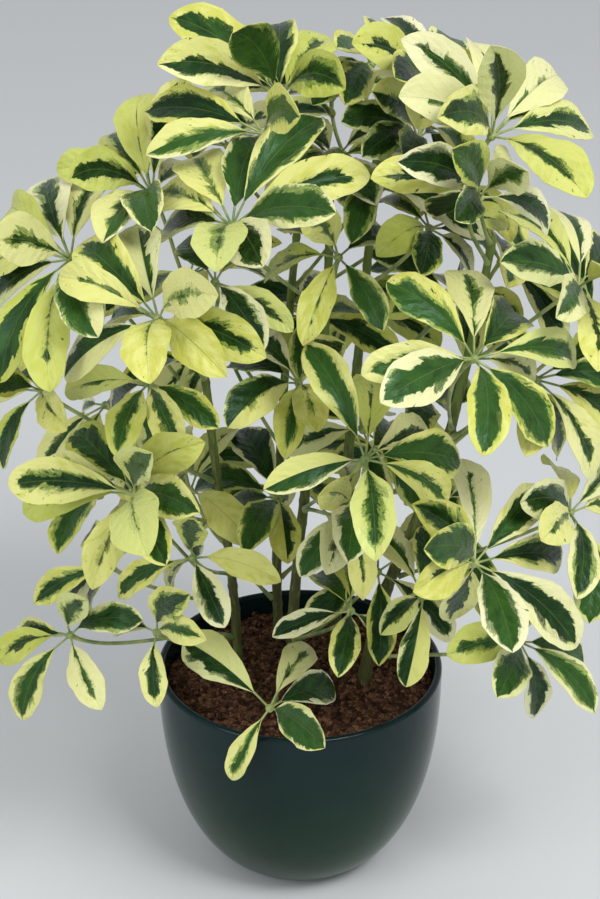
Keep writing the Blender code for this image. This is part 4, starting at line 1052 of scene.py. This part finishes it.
# How far out the dark green reaches, less towards the tip, and never quite to the edge
tip_start = node(tree, "Math", {0: share, 1: 0.22, 2: 0.62}, operation="MULTIPLY_ADD")
past_start = node(tree, "Math", {0: along_blade, 1: tip_start}, operation="SUBTRACT")
near_tip = node(tree, "MapRange", {"Value": past_start, "From Max": 0.22}, **SOFT)
usual_reach = node(tree, "Math", {0: share, 1: 0.8}, operation="MULTIPLY")
reach = varied(usual_reach, panel.outputs["Red"], PANEL_REACH)
reach = moved_edge(reach, spot, EDGE_CLOUD)
reach = moved_edge(reach, veinwise, EDGE_TEETH)
reach = moved_edge(reach, spot, EDGE_NICKS)
tip_loss = node(tree, "Math", {0: near_tip, 1: 0.55}, operation="MULTIPLY")
reach = node(tree, "Math", {0: reach, 1: tip_loss}, operation="SUBTRACT")
rim_cloud = node(tree, "TexNoise", {"Vector": spot, "Scale": 9.0, "Detail": 2.0, "Roughness": 0.5})
rim = node(tree, "Math", {0: rim_cloud, 1: 0.12, 2: 0.88}, operation="MULTIPLY_ADD")
reach = node(tree, "Math", {0: reach, 1: rim}, operation="MINIMUM")
some = node(tree, "MapRange", {"Value": share, "From Min": 0.01, "From Max": 0.05}, **SOFT)
reach = node(tree, "Math", {0: reach, 1: some}, operation="MULTIPLY")
inside_dark = node(tree, "Math", {0: reach, 1: out}, operation="SUBTRACT")
dark = node(tree, "MapRange", {"Value": inside_dark, "From Min": -0.01, "From Max": 0.01}, **SOFT)

# A fringe of mid green lies round the dark, wide on some leaflets, with islands in the yellow and dark flecks
patchy_draw = node(tree, "Math", {0: seed_value, 1: 13.7, 2: tone_value}, operation="MULTIPLY_ADD")
patchy_draw = node(tree, "Math", {0: patchy_draw}, operation="FRACT")
patchy = node(tree, "MapRange", {"Value": patchy_draw, "From Min": 0.5}, **SOFT)
fringe_width = node(tree, "Math", {0: patchy, 1: 0.22, 2: 0.01}, operation="MULTIPLY_ADD")
fringe = node(tree, "Math", {0: reach, 1: fringe_width}, operation="ADD")
fringe = varied(fringe, panel.outputs["Green"], PANEL_FRINGE)
fringe = moved_edge(fringe, veinwise, FRINGE_TEETH)
fringe = node(tree, "Math", {0: fringe, 1: some}, operation="MULTIPLY")
inside_light = node(tree, "Math", {0: fringe, 1: out}, operation="SUBTRACT")
light = node(tree, "MapRange", {"Value": inside_light, "From Min": -0.02, "From Max": 0.02}, **SOFT)
island_cloud = node(tree, "TexNoise", {"Vector": veinwise, "Scale": 1.3, "Detail": 5.0, "Roughness": 0.66})
island = node(tree, "MapRange", {"Value": island_cloud, "From Min": 0.66, "From Max": 0.68}, **SOFT)
island = node(tree, "Math", {0: island, 1: some}, operation="MULTIPLY")
island = node(tree, "Math", {0: island, 1: 0.9}, operation="MULTIPLY")
light = node(tree, "Math", {0: light, 1: island}, operation="MAXIMUM")
fleck_cloud = node(tree, "TexNoise", {"Vector": veinwise, "Scale": 2.6, "Detail": 5.0, "Roughness": 0.7})
fleck = node(tree, "MapRange", {"Value": fleck_cloud, "From Min": 0.57, "From Max": 0.59}, **SOFT)
fleck = node(tree, "Math", {0: light, 1: fleck}, operation="MULTIPLY")
fleck = node(tree, "Math", {0: fleck, 1: 0.9}, operation="MULTIPLY")
dark = node(tree, "Math", {0: dark, 1: fleck}, operation="MAXIMUM")

# The yellow is creamy on some leaflets, golden in patches, and limy on a few
mottle = node(tree, "TexNoise", {"Vector": spot, "Scale": 1.6, "Detail": 3.0, "Roughness": 0.5})
paleness = node(tree, "Math", {0: share, 1: 0.45, 2: tone_value}, operation="MULTIPLY_ADD")
pale = node(tree, "MapRange", {"Value": paleness, "From Min": 0.5, "From Max": 1.25}, **SOFT)
yellow = node(tree, "MixRGB", {0: pale, 1: linear(LEAF_YELLOW), 2: linear(LEAF_CREAM)})
goldness = node(tree, "Math", {0: tone_value, 1: -0.35, 2: mottle}, operation="MULTIPLY_ADD")
golden = node(tree, "MapRange", {"Value": goldness, "From Min": 0.3, "From Max": 0.6}, **SOFT)
golden = node(tree, "Math", {0: golden, 1: 0.8}, operation="MULTIPLY")
yellow = node(tree, "MixRGB", {0: golden, 1: yellow, 2: linear(LEAF_GOLD)})
lime_step = node(tree, "Math", {0: tone_value, 1: 2.1}, operation="MULTIPLY")
lime_draw = node(tree, "Math", {0: seed_value, 1: 5.3, 2: lime_step}, operation="MULTIPLY_ADD")
lime_draw = node(tree, "Math", {0: lime_draw}, operation="FRACT")
limy = node(tree, "MapRange", {"Value": lime_draw, "From Min": 0.6}, **SOFT)
limy = node(tree, "Math", {0: limy, 1: 0.6}, operation="MULTIPLY")
yellow = node(tree, "MixRGB", {0: limy, 1: yellow, 2: linear(LEAF_LIME)})

# The greens, then the midrib and side veins drawn a little paler, and the dull underside, whose yellow is
# darkened to olive as painted shade
green_step = node(tree, "Math", {0: seed_value, 1: 0.4}, operation="MULTIPLY")
green_tone = node(tree, "Math", {0: mottle, 1: 0.8, 2: green_step}, operation="MULTIPLY_ADD")
green_mix = node(tree, "MapRange", {"Value": green_tone, "From Min": 0.35, "From Max": 0.85}, **SOFT)
green = node(tree, "MixRGB", {0: green_mix, 1: linear(LEAF_DARK), 2: linear(LEAF_GREEN)})
mid_cloud = node(tree, "TexNoise", {"Vector": spot, "Scale": 3.2, "Detail": 4.0, "Roughness": 0.6})
mid_mix = node(tree, "MapRange", {"Value": mid_cloud, "From Min": 0.42, "From Max": 0.58}, **SOFT)
pale_green = node(tree, "MixRGB", {0: mid_mix, 1: linear(LEAF_MID), 2: linear(LEAF_LIGHT)})
light_mix = node(tree, "Math", {0: light, 1: 0.9}, operation="MULTIPLY")
surface = node(tree, "MixRGB", {0: light_mix, 1: yellow, 2: pale_green})
surface = node(tree, "MixRGB", {0: dark, 1: surface, 2: green})
midrib = node(tree, "MapRange", {"Value": out, "From Min": 0.012, "From Max": 0.035, **FADING}, **SOFT)
fine_vein = node(tree, "Math", {0: rib, 1: FINE_VEINS}, operation="MULTIPLY")
fine_vein = node(tree, "Math", {0: fine_vein}, operation="FRACT")
fine_vein = node(tree, "Math", {0: fine_vein, 1: 0.5}, operation="SUBTRACT")
fine_vein = node(tree, "Math", {0: fine_vein}, operation="ABSOLUTE")
vein_line = node(tree, "MapRange", {"Value": fine_vein, "From Min": 0.03, "From Max": 0.1, **FADING}, **SOFT)
vein_end = node(tree, "MapRange", {"Value": out, "From Min": 0.8, "From Max": 0.98, **FADING}, **SOFT)
side_vein = node(tree, "Math", {0: vein_line, 1: vein_end}, operation="MULTIPLY")
midrib_show = node(tree, "Math", {0: dark, 1: 0.09, 2: 0.04}, operation="MULTIPLY_ADD")
midrib_mix = node(tree, "Math", {0: midrib, 1: midrib_show}, operation="MULTIPLY")
surface = node(tree, "MixRGB", {0: midrib_mix, 1: surface, 2: linear(LEAF_MIDRIB)})
vein_mix = node(tree, "Math", {0: side_vein, 1: 0.02}, operation="MULTIPLY")
surface = node(tree, "MixRGB", {0: vein_mix, 1: surface, 2: linear(LEAF_VEIN)})
# Underside colour: its yellow is a darker olive as painted shade, and its green is a little paler than the
# top
underside_with_shade = node(tree, "MixRGB", {0: dark, 1: linear(LEAF_UNDER_SHADE_OLIVE), 2: linear(LEAF_UNDER_DARK)})
under_mix = node(tree, "Math", {0: under_value, 1: 0.5}, operation="MULTIPLY")
surface = node(tree, "MixRGB", {0: under_mix, 1: surface, 2: underside_with_shade})

# The relief: a sunk midrib and side veins, panels quilted between them, a slow buckle and a fine pebble
fine = node(tree, "TexNoise", {"Vector": spot, "Scale": 9.0, "Detail": 4.0, "Roughness": 0.6})
midrib_sink = node(tree, "Math", {0: midrib, 1: 0.7}, operation="MULTIPLY")
vein_sink = node(tree, "Math", {0: side_vein, 1: -0.1}, operation="MULTIPLY")
relief = node(tree, "Math", {0: vein_sink, 1: midrib_sink}, operation="SUBTRACT")
quilt_turn = node(tree, "Math", {0: rib, 1: FINE_VEINS * 2 * math.pi}, operation="MULTIPLY")
quilting = node(tree, "Math", {0: quilt_turn}, operation="COSINE")
relief = node(tree, "Math", {0: quilting, 1: 0.22, 2: relief}, operation="MULTIPLY_ADD")
relief = node(tree, "Math", {0: fine, 1: 0.5, 2: relief}, operation="MULTIPLY_ADD")
buckle = node(tree, "TexNoise", {"Vector": spot, "Scale": 2.6, "Detail": 3.0, "Roughness": 0.5})
relief = node(tree, "Math", {0: buckle, 1: 2.4, 2: relief}, operation="MULTIPLY_ADD")
veined = node(tree, "Bump", {"Height": relief, "Distance": 0.4 * MM, "Strength": 0.75})
face_gloss = node(tree, "Math", {0: fine, 1: 0.2, 2: 0.18}, operation="MULTIPLY_ADD")
under_dull = node(tree, "Math", {0: under_value, 1: 0.28}, operation="MULTIPLY")
sheen = node(tree, "Math", {0: face_gloss, 1: under_dull}, operation="ADD")
finish = {
    "Base Color": surface,
    "Roughness": sheen,
    "Normal": veined,
    "IOR": 1.45,
    "Specular IOR Level": 0.32,
    "Specular Tint": linear(LEAF_SHEEN),
    "Subsurface Weight": 0.12,
    "Subsurface Radius": (0.5, 0.7, 0.2),
    "Subsurface Scale": 1.5 * MM,
}
show(tree, node(tree, "BsdfPrincipled", finish))

# Stalk skin: smooth, pale yellow-green, clouded with a deeper green, with fine fibres along the stalk.
STALK_PALE, STALK_GREEN = "b3bb74", "6f8848"
STALK_CLOUDS, STALK_FIBRES = 11 * MM, 0.8 * MM
stalk_skin, tree = new_material("leaf_stalk_skin")
place = node(tree, "TexCoord").outputs["Object"]
stretch = node(tree, "Mapping", {"Vector": place, "Scale": (1, 1, 0.4)})
cloud = node(tree, "TexNoise", {"Vector": stretch, "Scale": 1 / STALK_CLOUDS, "Detail": 3.0})
stalk_color = node(tree, "ValToRGB", {"Fac": cloud})
paint_ramp(stalk_color, (0.35, STALK_GREEN), (0.68, STALK_PALE))
fibre = node(tree, "TexNoise", {"Vector": stretch, "Scale": 1 / STALK_FIBRES, "Detail": 2.0})
fibres = node(tree, "Bump", {"Height": fibre, "Distance": 0.15 * MM, "Strength": 0.5})
finish = {"Base Color": stalk_color, "Roughness": 0.42, "Normal": fibres}
show(tree, node(tree, "BsdfPrincipled", finish))

# Every stalk is a bent copy of one of two straight stems
LONG_RINGS, LONG_SIDES = 20, 8
SHORT_RINGS, SHORT_SIDES = 5, 6
SHORT_RADIUS = 0.85 * MM
FOOT_FLARE, FOOT_FLARE_END = 0.7, 22
TOP_SWELL, TOP_SWELL_END = 0.55, 26
SHORT_FLARE, SHORT_FLARE_END = 0.45, 8
ROOT_LAP = 1.5 * MM
KNOB_SIZE = 0.9
long_stem = unit_stem("long_stem", LONG_RINGS, LONG_SIDES)
short_stem = unit_stem("short_stem", SHORT_RINGS, SHORT_SIDES)
skins = {}
for name in CANES:
    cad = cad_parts["cane_" + name].data
    corners = [vert.co.copy() for vert in cad.vertices]
    skins[name] = BVHTree.FromPolygons(corners, [tuple(face.vertices) for face in cad.polygons])


def long_stalk_radius(share):
    """Thin and even, with a flared foot on the cane and a swollen top under the hub."""
    flare = FOOT_FLARE * math.exp(-share * FOOT_FLARE_END)
    swell = TOP_SWELL * math.exp(-(1 - share) * TOP_SWELL_END)
    return STALK_RADIUS * (STALK_SKIN + flare + swell)


def short_stalk_radius(share):
    return SHORT_RADIUS * (STALK_SKIN + SHORT_FLARE * math.exp(-share * SHORT_FLARE_END))


leaves = {}
for cane, entries in LEAVES.items():
    for n, entry in enumerate(entries):
        leaves[f"leaf_{cane}_{n + 1:02d}"] = (cane, entry if isinstance(entry, list) else [entry])
seed = FIRST_SEED
for name, (cane, wheels) in sorted(leaves.items(), key=lambda entry: entry[1][1][0][0][1]):
    rng = random.Random(name)
    corners = corners_of(name)
    shared = None
    blades, stems = [], []
    for place, leaflets in wheels:
        hub = Vector(place) * MM
        line, shared = grown_stalk(corners, cane, skins[cane], hub, shared)
        stems.append(bent_stem("stalk", long_stem, line, long_stalk_radius))
        bpy.ops.object.select_all(action="DESELECT")
        knob = HUB_RADIUS * KNOB_SIZE
        bpy.ops.mesh.primitive_uv_sphere_add(segments=12, ring_count=8, radius=knob, location=hub)
        bpy.ops.object.transform_apply(location=True)
        stems.append(bpy.context.object)
        for i, leaflet in grown_leaflets(corners, hub, leaflets, seed):
            green = leaflets.leaflets[i][2] if isinstance(leaflets, Seen) else rng.uniform(*USUAL_GREEN)
            blades.append(leaflet_blade("blade", leaflet, green, rng))
            root = leaflet.hub + leaflet.way * (leaflet.stalk + ROOT_LAP)
            stems.append(bent_stem("leaflet_stalk", short_stem, [leaflet.hub, root], short_stalk_radius))
        seed += 1
    for blade in blades:
        blade.data.materials.append(leaf_blade)
    for stem in stems:
        stem.data.materials.append(stalk_skin)
    bpy.ops.object.select_all(action="DESELECT")
    for piece in (*blades, *stems):
        piece.select_set(True)
    bpy.context.view_layer.objects.active = blades[0]
    bpy.ops.object.join()
    leaf = bpy.context.object
    leaf.name = leaf.data.name = "fine_" + name
    bpy.ops.object.shade_smooth_by_angle(angle=math.radians(60))
    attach(leaf, "root")
    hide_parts(name)
for prototype in (flat_blade, long_stem, short_stem):
    bpy.data.objects.remove(prototype)


# The studio
# A pale grey floor that fills the picture, a large soft lamp high on the right, a weaker one on the left, and
# even light from all round. The camera looks down on the plant from a little over a metre away.
FLOOR_GREY, AIR_GREY = "d6d9da", "e4e6e9"
FLOOR_SIZE = 40
AIR_STRENGTH = 0.75
floor_paint, tree = new_material("studio_floor_paint")
show(tree, node(tree, "BsdfPrincipled", {"Base Color": linear(FLOOR_GREY), "Roughness": 0.9}))
bpy.ops.object.select_all(action="DESELECT")
bpy.ops.mesh.primitive_plane_add(size=FLOOR_SIZE, location=(0, 0, 0))
floor = bpy.context.object
floor.name = "studio_floor"
floor.data.materials.append(floor_paint)


def soft_lamp(name, place, aim, size, power):
    lamp = bpy.data.objects.new(name, bpy.data.lights.new(name, "AREA"))
    lamp.data.shape, lamp.data.size, lamp.data.energy = "DISK", size, power
    lamp.location = place
    lamp.rotation_euler = (Vector(aim) - Vector(place)).to_track_quat("-Z", "Y").to_euler()
    bpy.context.scene.collection.objects.link(lamp)


soft_lamp("key_lamp", place=(1.1, -1.3, 2.4), aim=(0, 0, 0.35), size=1.2, power=44)
soft_lamp("fill_lamp", place=(-1.9, -1.6, 1.5), aim=(0, 0, 0.3), size=1.4, power=16)
world = bpy.data.worlds.new("studio_air")
world.use_nodes = True
world.node_tree.nodes["Background"].inputs["Color"].default_value = linear(AIR_GREY)
world.node_tree.nodes["Background"].inputs["Strength"].default_value = AIR_STRENGTH
bpy.context.scene.world = world
bpy.context.scene.view_settings.view_transform = "Standard"

SENSOR = 36
camera = bpy.data.objects.new("camera", bpy.data.cameras.new("camera"))
camera.location = CAMERA_PLACE
camera.rotation_euler = (math.pi / 2 - CAMERA_DOWN, 0, 0)
camera.data.sensor_width = SENSOR
camera.data.lens = FOCAL_PIXELS / (2 * MIDDLE_PIXEL[1]) * SENSOR
bpy.context.scene.collection.objects.link(camera)
bpy.context.scene.camera = camera
